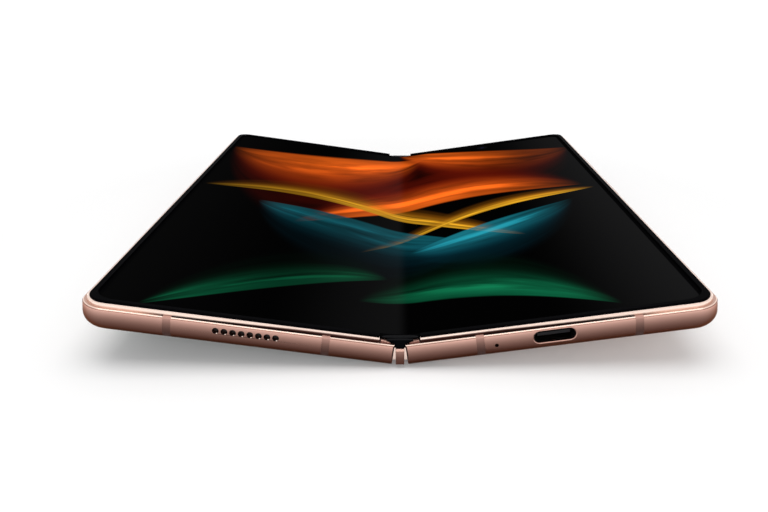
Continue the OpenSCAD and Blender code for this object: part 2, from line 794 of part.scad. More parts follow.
camera_step = 0.7;
camera_top = -half_t - camera_h;
camera_glass_t = 0.7;
camera_seat = 1.5;

module back_glass() color(glass_bronze) on_right() difference() {
    rounded_glass();
    translate([0, 0, -half_t - 1]) linear_extrude(3) camera_outline(camera_seat);
}

// Polished rim: a low skirt on the back glass and a higher wall round the camera glass
module camera_rim() color(bright) on_right() difference() {
    union() {
        translate([0, 0, -half_t - camera_step]) linear_extrude(camera_step) camera_outline(0);
        translate([0, 0, camera_top]) linear_extrude(camera_h) camera_outline(0.9);
        translate([0, 0, -half_t - eps]) linear_extrude(glass_t + eps)
            camera_outline(camera_seat + glass_gap);
    }
    translate([0, 0, camera_top - eps]) linear_extrude(camera_glass_t + eps)
        camera_outline(0.9 + camera_rim);
    translate([0, 0, camera_top - 1]) linear_extrude(camera_h + glass_t + 2)
        camera_outline(0.9 + camera_rim + 0.8);
}

module camera_glass() color([0.16, 0.12, 0.11]) on_right() difference() {
    translate([0, 0, camera_top]) linear_extrude(camera_glass_t)
        camera_outline(0.9 + camera_rim + glass_gap);
    translate([flash_u, lens_y[2], camera_top - 1]) cylinder(d = flash_d + 2 * glass_gap, h = 3);
    lens_places() translate([0, 0, camera_top - 1]) cylinder(d = lens_module_d + 2 * glass_gap, h = 3);
}

lens_ring_h = 0.25;
lens_ring_w = 0.7;

module lens_places() for (y = lens_y) translate([lens_u, y, 0]) children();

module lens_rings() color(bright) on_right() lens_places()
    translate([0, 0, camera_top - lens_ring_h]) difference() {
        cylinder(d = lens_ring_d, h = lens_ring_h);
        translate([0, 0, -1]) cylinder(d = lens_ring_d - 2 * lens_ring_w, h = 3);
    }

lens_module_d = lens_ring_d - 2 * lens_ring_w;
lens_window = lens_module_d / 2 + 0.9;
lens_top = camera_top + 0.1;
lens_step = 0.3;
lens_steps = [6.8, 5.6, 4.6];
lens_bottom = lens_top + len(lens_steps) * lens_step;
front_lens_r = 3;

// Barrels with stepped baffles round a domed front lens
module lens_modules() color(black) on_right() lens_places() {
    difference() {
        translate([0, 0, lens_top]) cylinder(d = lens_module_d, h = mid_low - lens_top);
        for (i = [0:len(lens_steps) - 1])
            translate([0, 0, lens_top - 1]) cylinder(d = lens_steps[i], h = 1 + (i + 1) * lens_step);
    }
    intersection() {
        translate([0, 0, lens_bottom + front_lens_r - 0.5]) sphere(front_lens_r);
        translate([0, 0, lens_top]) cylinder(d = lens_steps[2] - 0.8, h = lens_bottom - lens_top + eps);
    }
}

module flash() color([0.9, 0.9, 0.75]) on_right()
    translate([flash_u, lens_y[2], camera_top]) cylinder(d = flash_d, h = board_low - camera_top);

// ---- Inside the right half ----

board_t = 0.6;
board_top = usb_z - usb_h / 2 - usb_wall;
board_low = board_top - board_t;
side_strip = 8;
battery_gap = 0.6;
board_end = end_in - 1.2;
board_u1 = half_w - wall - 2.6;
battery_u0 = rail_u + battery_gap;
right_battery_y = [-half_len + 17.6, lens_y[0] - 17.6];
battery_low = -4.6;
post_d = 2.4;
shield_h = 1.2;
upper_can_y = [lens_y[0] + 7.4, board_end - 13.2];
lower_can_y = [right_battery_y[1] + 4, upper_can_y[0] - 3];

// Board with a window for the cameras, carried on posts under the display plate
module main_board() color([0.05, 0.25, 0.15]) on_right() {
    difference() {
        box(battery_u0, board_u1, -board_end, board_end, board_low, board_top);
        box(battery_u0 - 1, board_u1 - side_strip, right_battery_y[0] - battery_gap,
            right_battery_y[1] + battery_gap, -half_t, 0);
        box(lens_u - lens_window, lens_u + lens_window, lens_y[0] - lens_window, lens_y[2] + lens_window,
            -half_t, 0);
    }
    for (p = [[battery_u0 + 3, lower_can_y[0] + 1], [battery_u0 + 3, board_end - 10],
              [board_u1 - 3, right_battery_y[1] + 3], [battery_u0 + 3, -board_end + 3],
              [board_u1 - 3, -board_end + 3], [board_u1 - 3, right_battery_y[0] / 2]])
        board_post(p[0], p[1]);
    // shield cans
    box(battery_u0 + 6, lens_u - lens_window - 1.4, lower_can_y[0], lower_can_y[1],
        board_top - eps, board_top + shield_h);
    box(battery_u0 + 2, inner_camera_u - 5, upper_can_y[0], upper_can_y[1],
        board_top - eps, board_top + shield_h);
}

module board_post(u, y) translate([u, y, board_top - eps])
    cylinder(d = post_d, h = mid_low - board_top + eps);

module battery(u1, ys) box(battery_u0, u1, ys[0], ys[1], battery_low, mid_low);

module right_battery() color([0.1, 0.1, 0.12]) on_right()
    battery(board_u1 - side_strip - battery_gap, right_battery_y);

coil_d = 30;

module charging_coil() color([0.75, 0.42, 0.12]) on_right()
    translate([(battery_u0 + board_u1 - side_strip) / 2, -18, battery_low - 0.3]) difference() {
        cylinder(d = coil_d, h = 0.3);
        translate([0, 0, -1]) cylinder(d = coil_d / 2, h = 3);
    }

tongue_len = 6.6;
tongue_t = 0.7;

module usb_shell() color(steel) on_right() difference() {
    into_end(usb_u, usb_z, usb_w + 2 * usb_wall, usb_h + 2 * usb_wall, usb_recess, usb_recess + usb_depth);
    into_end(usb_u, usb_z, usb_w, usb_h, 0, usb_recess + usb_depth - usb_wall);
}

module usb_tongue() color(black) on_right()
    box(usb_u - tongue_len / 2, usb_u + tongue_len / 2, -half_len + usb_recess + 0.5,
        -half_len + usb_recess + usb_depth - usb_wall, usb_z - tongue_t / 2, usb_z + tongue_t / 2);

module inner_camera() color(black) on_right() translate([inner_camera_u, inner_camera_y, 0]) {
    translate([0, 0, mid_low - 2]) cylinder(d = inner_camera_d + 1.8, h = 2);
    translate([0, 0, mid_low - eps]) cylinder(d = inner_camera_d - 0.1, h = -mid_low - 0.05);
}

module microphone() color(steel) on_right()
    box(mic_u - 1.6, mic_u + 1.6, -end_in, -end_in + 1.1, mid_low - 2.5, mid_low);

magnet_y = half_len - 11.6;
magnet_len = 10;

module magnets() for (y = [-magnet_y, magnet_y])
    box(half_w - wall - 1.9, half_w - wall - 0.1, y - magnet_len / 2, y + magnet_len / 2,
        mid_low - 2.2, mid_low);

module right_magnets() color(steel) on_right() magnets();
module left_magnets() color(steel) on_left() magnets();

// ---- Keys on the right edge ----

key_shoulder = half_w - wall + key_flange;
flange_gap = 0.02;
flange_t = 0.6;
volume_flange_gap = 0.15;
volume_flange = 12;

module key(y, len, flange, gap) {
    in_side(key_shoulder - gap - eps, half_w + key_proud - 0.15, y, key_z, len, key_h);
    in_side(half_w, half_w + key_proud, y, key_z, len - 0.3, key_h - 0.3);
    in_side(key_shoulder - gap - flange_t, key_shoulder - gap, y, key_z, flange, key_h);
}

module power_key() color(bronze) on_right() key(power_y, power_len, power_len + 2, flange_gap);
module volume_key() color(bronze) on_right()
    key(volume_y, volume_len, volume_flange, volume_flange_gap);

// Dome switches behind the keys, on blocks under the display plate
module key_switches() color(steel) on_right() for (y = [power_y, volume_y - 4.5, volume_y + 4.5]) {
    base = key_shoulder - flange_t - volume_flange_gap - 0.15 - key_travel;
    box(base - 1.2, base - 0.3, y - 1.5, y + 1.5, key_z - 1, mid_low);
    translate([base - 0.3 - eps, y, key_z]) rotate([0, 90, 0]) cylinder(d = 1.4, h = 0.3 + eps);
}

// ---- Cover side of the left half ----

cover_panel_t = 0.5;
cover_panel_u0 = axis_u + pocket_r + 1;
cover_panel_inset = 3;

module cover_panel_outline(gap) outline(cover_panel_u0 - gap, half_w - cover_panel_inset + gap,
    -half_len + cover_panel_inset - gap, half_len - cover_panel_inset + gap, 3 + gap, 3 + gap);

module cover_glass() color(black) on_left() rounded_glass();

cover_camera_h = 2.4;

module cover_camera_hole(d, z0, z1)
    translate([(half_w - glass_inset + glass_u0) / 2, half_len - 5.5, z0]) cylinder(d = d, h = z1 - z0);

module cover_display() color([0.03, 0.03, 0.04]) on_left() difference() {
    translate([0, 0, back_in]) linear_extrude(cover_panel_t) cover_panel_outline(-0.05);
    cover_camera_hole(cover_camera_d + 0.2, -half_t, 0);
}

module cover_camera() color([0.1, 0.1, 0.15]) on_left()
    cover_camera_hole(cover_camera_d, back_in, back_in + cover_camera_h);

// ---- Inside the left half ----

cell_margin = 19.6;
left_battery_y = [-half_len + cell_margin, half_len - cell_margin];
cage_u0 = half_w - tray_depth - 1;
left_battery_u1 = cage_u0 - 2.1;
speaker_reach = left_battery_u1 + 5;
speaker_low = -4.5;

module left_battery() color([0.1, 0.1, 0.12]) on_left() battery(left_battery_u1, left_battery_y);

module speaker_body(y0, y1) box(rail_u + room_r, speaker_reach, y0, y1, speaker_low, mid_low);

module speaker_box() color(black) on_left() speaker_body(-end_in, -left_battery_y[1] - battery_gap - 1);
module top_speaker() color(black) on_left() difference() {
    speaker_body(left_battery_y[1] + battery_gap + 1, end_in);
    cover_camera_hole(cover_camera_d + 1, -half_t, 0);
}

motor_d = 9;
motor_h = 3;
motor_y = tray_y - tray_len - motor_d;

module vibration_motor() color(steel) on_left()
    translate([(left_battery_u1 + half_w - wall) / 2, motor_y, mid_low]) mirror([0, 0, 1])
        cylinder(d = motor_d, h = motor_h);

sub_y = [tray_y + tray_len / 2 + 6.2, left_battery_y[1] - 2];

module sub_board() color([0.05, 0.25, 0.15]) on_left() {
    box(left_battery_u1 + 1, half_w - wall - 1.5, sub_y[0], sub_y[1], board_low, board_top);
    for (u = [left_battery_u1 + 4, half_w - wall - 5],
         y = [sub_y[0] + 3, (sub_y[0] + sub_y[1]) / 2, sub_y[1] - 3]) board_post(u, y);
    box(left_battery_u1 + 5, half_w - wall - 6, sub_y[0] + 8, (sub_y[0] + sub_y[1]) / 2 - 5,
        board_top - eps, board_top + shield_h);
}

tray_w = 12.4;
tray_t = 0.8;
tray_face = 1.2;
cage_wall = 0.25;
cage_gap = 0.15;

module sim_tray() color(bronze) on_left() difference() {
    union() {
        in_side(half_w - tray_face, half_w - 0.02, tray_y, tray_z, tray_len, tray_h);
        box(half_w - tray_depth, half_w - tray_face + eps, tray_y - tray_w / 2, tray_y + tray_w / 2,
            tray_z - tray_t / 2, tray_z + tray_t / 2);
    }
    // seat of the card and the eject hole
    box(half_w - tray_depth + 1.5, half_w - tray_face - 3.5, tray_y - tray_w / 2 + 1.2,
        tray_y + tray_w / 2 - 1.2, tray_z - 1, tray_z + 1);
    translate([half_w - tray_face - 1, tray_y + tray_len / 2 - 1.8, tray_z]) rotate([0, 90, 0])
        cylinder(d = 0.7, h = 3);
}

module tray_cage() color(steel) on_left() {
    in_w = tray_w + 2 * cage_gap;
    low = tray_z - tray_t / 2 - cage_gap;
    difference() {
        box(cage_u0, half_w - wall - 0.1, tray_y - in_w / 2 - cage_wall,
            tray_y + in_w / 2 + cage_wall, low - cage_wall, mid_low);
        box(cage_u0 + 0.5, half_w, tray_y - in_w / 2, tray_y + in_w / 2,
            low, tray_z + tray_t / 2 + cage_gap);
    }
}

hinge_cover();
hinge_end_caps();
tee_caps();
guide_brackets();
gear_bracket();
bracket_screws();
display_fold();
flex_ribbons();
right_frame();
right_bezel();
right_display();
right_support_plate();
right_tongues();
right_hinge_screws();
right_antenna_bands();
back_glass();
camera_rim();
camera_glass();
lens_rings();
lens_modules();
flash();
inner_camera();
usb_shell();
usb_tongue();
main_board();
right_battery();
charging_coil();
microphone();
right_magnets();
key_switches();
left_frame();
left_bezel();
left_display();
left_support_plate();
left_tongues();
left_hinge_screws();
left_antenna_bands();
cover_glass();
cover_display();
cover_camera();
speaker_box();
top_speaker();
vibration_motor();
left_battery();
sub_board();
tray_cage();
left_magnets();
power_key();
volume_key();
sim_tray();
right_pinion();
right_mid_gear();
right_inner_gear();
left_pinion();
left_mid_gear();
left_inner_gear();
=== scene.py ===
# %% [markdown]
# # A folding phone, dressed for its portrait
#
# The solids of the phone come in as a fixed frame: two thin halves, a spine
# between them, glasses, bezels, cameras and the works inside. This lesson gives
# each visible surface its real finish, and models again the few pieces whose
# beauty is too fine for a machine part: the folding display, the lenses, the
# flash, the contacts in the socket.

# %% Load the frame
import json
from math import atan2, cos, degrees, pi, radians, sin, sqrt, tan

import bmesh
import bpy
from mathutils import Matrix, Vector

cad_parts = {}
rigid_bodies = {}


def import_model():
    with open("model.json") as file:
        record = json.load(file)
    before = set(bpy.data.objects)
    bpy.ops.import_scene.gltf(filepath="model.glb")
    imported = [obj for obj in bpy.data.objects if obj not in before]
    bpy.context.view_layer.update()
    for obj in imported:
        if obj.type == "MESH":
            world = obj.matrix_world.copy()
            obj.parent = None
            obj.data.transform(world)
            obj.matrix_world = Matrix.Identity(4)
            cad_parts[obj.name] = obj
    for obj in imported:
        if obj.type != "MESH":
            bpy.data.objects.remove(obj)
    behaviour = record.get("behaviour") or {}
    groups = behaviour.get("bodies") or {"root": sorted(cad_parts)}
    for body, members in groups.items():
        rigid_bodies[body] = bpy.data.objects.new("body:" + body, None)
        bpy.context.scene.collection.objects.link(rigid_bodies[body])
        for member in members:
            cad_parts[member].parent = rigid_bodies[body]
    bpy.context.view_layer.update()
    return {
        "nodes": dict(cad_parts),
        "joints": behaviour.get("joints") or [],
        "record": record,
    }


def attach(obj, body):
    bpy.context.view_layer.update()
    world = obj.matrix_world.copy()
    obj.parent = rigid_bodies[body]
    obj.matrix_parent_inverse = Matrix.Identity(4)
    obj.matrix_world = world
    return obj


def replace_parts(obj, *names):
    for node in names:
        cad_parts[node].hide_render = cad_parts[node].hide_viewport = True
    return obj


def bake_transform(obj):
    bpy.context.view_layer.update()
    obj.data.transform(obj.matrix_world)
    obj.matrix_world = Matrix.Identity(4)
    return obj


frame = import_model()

MM = 0.001
nodes = frame["nodes"]

# %% [markdown]
# ## Where things are
#
# Each half of the phone is a flat slab that is tilted about its own hinge. A new
# piece could be modelled in its tilted place, with every number turned by hand. It
# is far easier to model it flat and tilt it at the end, so we read the hinge's
# place and the tilt out of the joints and build one matrix per half. In a half's
# own flat space u runs outwards from the fold, y along it, and z is the height
# above the display.

# %% Hinge axis, tilt and the placing matrices
joints = {joint["name"]: joint for joint in frame["joints"]}
axis_x, _, lift = joints["right_fold"]["pos_m"]
press = joints["power_key_press"]["axis"]
TILT = atan2(-press[2], -press[0])

AXIS = Vector((axis_x, 0, 0))
RIGHT = (Matrix.Translation((axis_x, 0, lift)) @ Matrix.Rotation(-TILT, 4, "Y")
         @ Matrix.Translation(-AXIS))
LEFT = Matrix.Diagonal((-1, 1, 1, 1)) @ RIGHT
SPINE = Matrix.Translation((0, 0, lift))
PLACES = {"right_half": RIGHT, "left_half": LEFT, "spine": SPINE}
print("tilt in degrees:", round(degrees(TILT), 2), "hinge axis at", round(axis_x / MM, 2), "mm")


# %% Measuring a solid in flat space
def flat_box(node, body):
    """Lowest and highest corner of a node in the flat space of its body."""
    undo = PLACES[body].inverted()
    points = [undo @ vertex.co for vertex in nodes[node].data.vertices]
    return (Vector([min(p[i] for p in points) for i in range(3)]),
            Vector([max(p[i] for p in points) for i in range(3)]))


def middle_of(low, high):
    """Place across and along at the middle of a box."""
    return (low.x + high.x) / 2, (low.y + high.y) / 2


body_low, body_high = flat_box("right_frame", "right_half")
hinge_edge, half_len = body_low.x, body_high.y
panel_high = flat_box("right_display", "right_half")[1]
print("a half reaches", round(body_high.x / MM, 2), "mm out and", round(half_len / MM, 2),
      "mm to each end")

# %% [markdown]
# ## Two small tools for the shaders
#
# A finish is arithmetic: a grain plus a cloud, a mask times a colour. Wired from
# Math nodes by hand it is hard to read. `Wire` wraps one socket and overloads the
# operators, so `1 - mask * 0.4` adds its own nodes. `Finish` is one material: a
# Principled shader with its constants set straight on its sockets, and one method,
# `node`, that makes any other node.

# %% The socket wrapper
class Wire:
    def __init__(self, finish, node, socket):
        self.finish, self.node, self.socket = finish, node, socket

    def __getitem__(self, output):
        return Wire(self.finish, self.node, self.node.outputs[output])

    def _math(self, operation, *values):
        inputs = dict(enumerate(values))
        return self.finish.node("ShaderNodeMath", {"operation": operation}, inputs)

    def __add__(self, other): return self._math("ADD", self, other)
    def __radd__(self, other): return self._math("ADD", other, self)
    def __sub__(self, other): return self._math("SUBTRACT", self, other)
    def __rsub__(self, other): return self._math("SUBTRACT", other, self)
    def __mul__(self, other): return self._math("MULTIPLY", self, other)
    def __rmul__(self, other): return self._math("MULTIPLY", other, self)
    def __truediv__(self, other): return self._math("DIVIDE", self, other)
    def __rtruediv__(self, other): return self._math("DIVIDE", other, self)
    def __pow__(self, other): return self._math("POWER", self, other)
    def sin(self): return self._math("SINE", self)
    def abs(self): return self._math("ABSOLUTE", self)
    def most(self, other): return self._math("MAXIMUM", self, other)
    def least(self, other): return self._math("MINIMUM", self, other)

    def ease(self, start, end):
        """0 before start, 1 after end, and a smooth step between them."""
        settings = {"interpolation_type": "SMOOTHSTEP"}
        inputs = {"Value": self, "From Min": start, "From Max": end}
        return self.finish.node("ShaderNodeMapRange", settings, inputs)


print("a wire can:", [name for name in vars(Wire) if name[0] != "_"])

# %% The material helper
FACTOR, COLOUR_A, COLOUR_B = 0, 6, 7  # sockets of a Mix node that mixes colours


class Finish:
    def __init__(self, name, **shader):
        self.material = bpy.data.materials.new(name)
        self.material.use_nodes = True
        self.tree = self.material.node_tree
        self.shader = self.tree.nodes["Principled BSDF"]
        for socket, value in shader.items():
            self.shader.inputs[socket.replace("_", " ")].default_value = value

    def node(self, kind, settings=None, inputs=None):
        """Makes a node: its settings first, then the values or links of its sockets."""
        made = self.tree.nodes.new(kind)
        for key, value in (settings or {}).items():
            setattr(made, key, value)
        for key, value in (inputs or {}).items():
            if isinstance(value, Wire):
                self.tree.links.new(value.socket, made.inputs[key])
            else:
                made.inputs[key].default_value = value
        return Wire(self, made, next(o for o in made.outputs if o.enabled))

    def place(self, scale=(1, 1, 1)):
        """Coordinates on the piece, scaled for a pattern."""
        where = self.node("ShaderNodeTexCoord")["Object"]
        return self.node("ShaderNodeMapping", {"vector_type": "POINT"},
                         {"Vector": where, "Scale": scale})

    def along(self, axis):
        """One of the coordinates on the piece."""
        return self.node("ShaderNodeSeparateXYZ", {}, {0: self.place()})[axis]

    def noise(self, size, where=None, detail=2.0, rough=0.5):
        """Soft noise of about that size in metres, between 0 and 1."""
        where = where or self.place()
        return self.node("ShaderNodeTexNoise", {}, {
            "Vector": where, "Scale": 1 / size, "Detail": detail, "Roughness": rough})

    def blend(self, factor, first, second):
        """One colour or the other by a factor."""
        ends = {COLOUR_A: first, COLOUR_B: second}
        ends = {key: (*end, 1) if isinstance(end, tuple) else end for key, end in ends.items()}
        return self.node("ShaderNodeMix", {"data_type": "RGBA"}, {FACTOR: factor, **ends})

    def tint(self, colour, strength):
        """A colour scaled by a number that varies over the surface."""
        return self.node("ShaderNodeVectorMath", {"operation": "SCALE"},
                         {0: colour, "Scale": strength})

    def feed(self, socket, wire):
        """Links a wire to a socket of the shader."""
        self.tree.links.new(wire.socket, self.shader.inputs[socket])
        return self

    def bump(self, height, strength, distance):
        relief = self.node("ShaderNodeBump", {}, {
            "Height": height, "Strength": strength, "Distance": distance})
        return self.feed("Normal", relief)


finishes = {}


def finish(name, **shader):
    finishes[name] = Finish(name, **shader)
    return finishes[name]


print("a finish can:", [name for name in vars(Finish) if name[0] != "_"])

# %% [markdown]
# ## Painted shade that belongs to a place
#
# Some tones of the frame follow the place and not the face: the wall is light along
# its top edge and darkens to a deep brown painted shade at its foot. A painted map could
# hold that, but it would need an unwrapping. Arithmetic on the Object coordinates needs
# none and stays sharp. The end walls get the painted shade in full, the long sides half of it.

# %% Height, distance from the fold and the wall's painted shade
WALL_TOP, WALL_LOW = -0.9 * MM, -6.0 * MM
WALL_PAINTED_SHADE = (0.085, 0.034, 0.025)
DEEP_FALL = 3.6
# the painted shade fades to its share on the long sides between these distances from the end
END_FADE, SIDE_FADE, SIDE_LIGHT = 4 * MM, 12 * MM, 0.5


def fold_distance(made):
    """Distance from the middle of the fold."""
    return made.along("X").abs()


def height_flat(made):
    """Height above the display plane, as it would be with the phone laid flat."""
    return (made.along("Z") - lift) * cos(TILT) - (fold_distance(made) - axis_x) * sin(TILT)


def paint_wall_shade(made, tone, below):
    """Mixes a painted shade into a colour, more and more down the walls."""
    rise = (height_flat(made) - WALL_LOW) / (WALL_TOP - WALL_LOW)
    inside = made.along("Y").abs().ease(half_len - END_FADE, half_len - SIDE_FADE)
    return made.blend((rise.most(0).least(1) ** DEEP_FALL).most(inside * SIDE_LIGHT), below, tone)


print("the wall darkens over", round((WALL_TOP - WALL_LOW) / MM, 2), "mm of height")

# %% [markdown]
# ## The metal
#
# The frame is anodised aluminium in a rose bronze. Anodising leaves a very fine
# satin grain, so the light spreads along it, and the tone drifts a little from
# place to place. The cut edges are diamond-turned after the anodising and stay
# bright. A plain colour with one roughness would look like paint, so one helper
# lays a grain and a slow cloud over any metal, and serves all of them.

# %% Metals
WHITE = (1, 1, 1, 1)
WARM_EDGE = (0.6, 0.45, 0.4, 1)
CLOUD_SIZE, SATIN_GRAIN, GRAIN_DEPTH = 14 * MM, 0.16 * MM, 0.01 * MM
GRAIN_ROUGH, CLOUD_ROUGH = 0.07, 0.05


# below, when given, is the colour of a painted shade mixed in down the walls
def metal(name, deep, light, rough, stretch=(1, 1, 1), relief=0.06, below=None):
    made = finish(name, Metallic=1.0, Specular_Tint=WARM_EDGE if below else WHITE)
    cloud = made.noise(CLOUD_SIZE, detail=3)
    grain = made.noise(SATIN_GRAIN, made.place(stretch), detail=1)
    if deep:
        tone = made.blend(cloud, deep, light)
        made.feed("Base Color", paint_wall_shade(made, tone, below) if below else tone)
    smoothest = rough - (GRAIN_ROUGH + CLOUD_ROUGH) / 2
    made.feed("Roughness", grain * GRAIN_ROUGH + cloud * CLOUD_ROUGH + smoothest)
    return made.bump(grain, relief, GRAIN_DEPTH)


# the satin wall carries the painted shade at its foot
metal("satin_bronze", (0.66, 0.385, 0.315), (0.72, 0.425, 0.350), 0.30, below=WALL_PAINTED_SHADE)
metal("polished_bronze", (0.88, 0.68, 0.59), (0.93, 0.73, 0.64), 0.16, relief=0.02)
metal("polished_spine", (0.52, 0.315, 0.258), (0.58, 0.355, 0.290), 0.20, relief=0.02)
metal("polished_copper", (0.44, 0.215, 0.148), (0.52, 0.265, 0.188), 0.12, relief=0.02)
metal("satin_skirt", (0.47, 0.320, 0.270), (0.53, 0.365, 0.310), 0.26)
metal("steel", (0.52, 0.52, 0.54), (0.62, 0.62, 0.64), 0.30, stretch=(1, 0.06, 1))
metal("gold", (0.83, 0.58, 0.24), (0.90, 0.66, 0.30), 0.22)
metal("copper_ribbon", (0.58, 0.27, 0.08), (0.66, 0.33, 0.11), 0.38)
metal("dark_steel", (0.075, 0.075, 0.080), (0.095, 0.095, 0.100), 0.35)
metal("shade_bronze", (0.040, 0.017, 0.013), (0.050, 0.022, 0.017), 0.45)
metal("socket_bronze", (0.42, 0.245, 0.200), (0.47, 0.275, 0.225), 0.34)
print("metals:", sorted(finishes))

# %% [markdown]
# Three narrow strips of the frame change their tone along the way. The bevel of the
# side wall is bright only on its upper part. The lip's outer wall and the seam at
# its foot get a painted shade beside the fold and painted light further out; the
# seam's dark line is also a real gap. The faces are too long for one tone each, so it
# is eased along them by the same measures.

# %% Bevel, lip and seam
RIM_DARK_TO, RIM_LIGHT_FROM = -0.82 * MM, -0.72 * MM
rim = metal("rim_bronze", None, None, 0.24, relief=0.01)
above = height_flat(rim).ease(RIM_DARK_TO, RIM_LIGHT_FROM)
rim.feed("Base Color", rim.blend(above, (0.30, 0.150, 0.115), (0.88, 0.66, 0.56)))

LIP_LOW, LIP_RISE, LIT_FROM, LIT_OVER = -0.6 * MM, 0.66 * MM, 20 * MM, 36 * MM
# lip wall: painted shade beside the fold, painted light further out
lip = metal("lip_bronze", None, None, 0.30, relief=0.01)
lit = ((height_flat(lip) - LIP_LOW) / LIP_RISE
       + ((fold_distance(lip) - LIT_FROM) / LIT_OVER).most(0))
lip.feed("Base Color", lip.blend(lit.ease(0.55, 1.05), (0.075, 0.030, 0.024), (0.92, 0.72, 0.62)))

# seam: a dark line, partly a real gap and partly painted shade, with painted light far out
seam = metal("seam_bronze", None, None, 0.40, relief=0.01)
out = fold_distance(seam)
shaded = seam.blend(out.ease(5 * MM, 17 * MM), (0.105, 0.046, 0.036), (0.014, 0.006, 0.005))
seam.feed("Base Color", seam.blend(out.ease(45 * MM, 53 * MM), shaded, (0.52, 0.33, 0.27)))
print("strips of the frame:", [made.material.name for made in (rim, lip, seam)])

# %% [markdown]
# ## Blacks and plastics
#
# Several blacks sit next to each other and must not look alike: the soft rim of the
# display, which is a matt elastic plastic, the dark caps at the fold, and the plain
# inner parts. They differ in roughness and in how much of the light they throw back,
# so one helper takes both. The antenna bands are dyed to the colour of the metal,
# and get the same painted shade towards their foot.

# %% Blacks and plastics
SPECK_SIZE, DRIFT_SIZE = 0.25 * MM, 8 * MM
DARKER, GRIT_ROUGH = 0.86, 0.1


# below, when given, is the colour of a painted shade mixed in down the walls
def plastic(name, colour, rough, shine=0.5, grain_size=SPECK_SIZE, relief=0.05, below=None):
    made = finish(name, Specular_IOR_Level=shine)
    grain = made.noise(grain_size, detail=2)
    dark = tuple(DARKER * part for part in colour)
    tone = made.blend(made.noise(DRIFT_SIZE), dark, colour)
    made.feed("Base Color", paint_wall_shade(made, tone, below) if below else tone)
    made.feed("Roughness", grain * GRIT_ROUGH + (rough - GRIT_ROUGH / 2))
    return made.bump(grain, relief, GRAIN_DEPTH)


plastic("gloss_black", (0.0016, 0.0016, 0.0020), 0.45, shine=0.003)
plastic("soft_black", (0.010, 0.010, 0.012), 0.55, shine=0.2)
plastic("cap_black", (0.0022, 0.0023, 0.0030), 0.34, shine=0.012, relief=0.02)
# a lighter black for the upright edges of the tabs: a painted highlight
plastic("cap_edge_highlight", (0.013, 0.013, 0.017), 0.34, shine=0.05, relief=0)
plastic("hole_black", (0.0015, 0.0015, 0.0018), 0.5, shine=0.02, relief=0)
# the antenna bands take the painted shade of the wall
plastic("antenna_plastic", (0.54, 0.300, 0.245), 0.50, shine=0.12, below=(0.048, 0.017, 0.012))
plastic("battery_pouch", (0.035, 0.035, 0.040), 0.42, grain_size=0.9 * MM, relief=0.2)
plastic("lens_coating", (0.020, 0.016, 0.055), 0.08, shine=0.9, relief=0)
plastic("eye_coating", (0.006, 0.007, 0.020), 0.12, shine=0, relief=0)
plastic("baffle_black", (0.008, 0.007, 0.008), 0.30, shine=0.4, relief=0)
plastic("flash_well", (0.020, 0.018, 0.008), 0.2, shine=0.15, relief=0)

board = plastic("circuit_board", (0.02, 0.10, 0.055), 0.42)
tracks = board.node("ShaderNodeTexBrick", {"offset": 0.5}, {
    "Vector": board.place(), "Scale": 260.0, "Mortar Size": 0.012,
    "Color1": (0.016, 0.085, 0.045, 1), "Color2": (0.02, 0.10, 0.055, 1),
    "Mortar": (0.035, 0.20, 0.10, 1)})
board.feed("Base Color", tracks)
print("finishes so far:", len(finishes))

# %% [markdown]
# ## The glasses
#
# The back glass is etched on its outside and coloured underneath. A clear shader
# over a coloured sheet would be slow to render, and the etching hides all depth, so
# it is one satin metal with a thin soft coat, with a painted reflection that darkens it
# towards the fold and leaves it paler further out. The glass over the cameras is
# tinted brown and polished, with a faint cloud in its roughness, because no real glass
# is wiped perfectly clean.

# %% Back glass
PALE_FROM = 62 * MM
frosted = finish("frosted_glass", Metallic=0.92, Coat_Weight=0.25, Coat_Roughness=0.22)
haze = frosted.noise(22 * MM, detail=3)
frost = frosted.noise(0.12 * MM, detail=1)
pale = frosted.blend(haze, (0.62, 0.465, 0.410), (0.68, 0.515, 0.455))
# darker towards the fold: a painted reflection
painted_fold_reflection = frosted.blend(haze, (0.33, 0.215, 0.180), (0.37, 0.245, 0.205))
outwards = fold_distance(frosted).ease(0, PALE_FROM)
frosted.feed("Base Color", frosted.blend(outwards, painted_fold_reflection, pale))
FROST_ROUGH, HAZE_ROUGH, GLASS_ROUGH = 0.06, 0.04, 0.27
frosted.feed("Roughness", frost * FROST_ROUGH + haze * HAZE_ROUGH + GLASS_ROUGH)
frosted.bump(frost, 0.05, GRAIN_DEPTH)
print("back glass: pale from", round(PALE_FROM / MM), "mm off the fold")


# %% Polished glasses
def polished_glass(name, colour, shine, coat):
    made = finish(name, Base_Color=(*colour, 1), Specular_IOR_Level=shine, Coat_Weight=coat,
                  Coat_Roughness=0.03)
    wipe = made.noise(16 * MM, made.place((1, 0.4, 1)), detail=4, rough=0.65)
    made.feed("Roughness", wipe * 0.05 + 0.05)


polished_glass("dark_glass", (0.030, 0.018, 0.015), 0.12, 0.08)
polished_glass("black_glass", (0.003, 0.003, 0.004), 0, 0)
finish("clear_window", Base_Color=(0.02, 0.02, 0.025, 1), Roughness=0.04, Alpha=0.10,
       Specular_IOR_Level=0.3)
print("glasses:", [name for name in finishes if "glass" in name or "window" in name])

# %% [markdown]
# ## A picture for the screens
#
# A lit screen needs something on it. An image file could hold it, but a formula
# stays sharp at any size, so a generic wallpaper of silk leaves is worked out in
# the shader. Each leaf is a band between a sine crest, where it is crisp, and a far
# side, where it fades. It is widest at its middle and tapers to both sides, with
# threads of noise and soft pleats combed along it. The leaves are painted over each
# other from the back to the front. The pattern reads the `panel` map of the screen,
# so that it stays on the display when the phone closes.

# %% The silk leaves, one in each row
# deep colour and colour of the crest
EMBER = (0.20, 0.010, 0.002), (0.84, 0.130, 0.010)
AMBER = (0.42, 0.14, 0.006), (1.00, 0.50, 0.025)
TEAL = (0.002, 0.040, 0.060), (0.012, 0.215, 0.275)
FOREST = (0.001, 0.018, 0.008), (0.004, 0.145, 0.060)
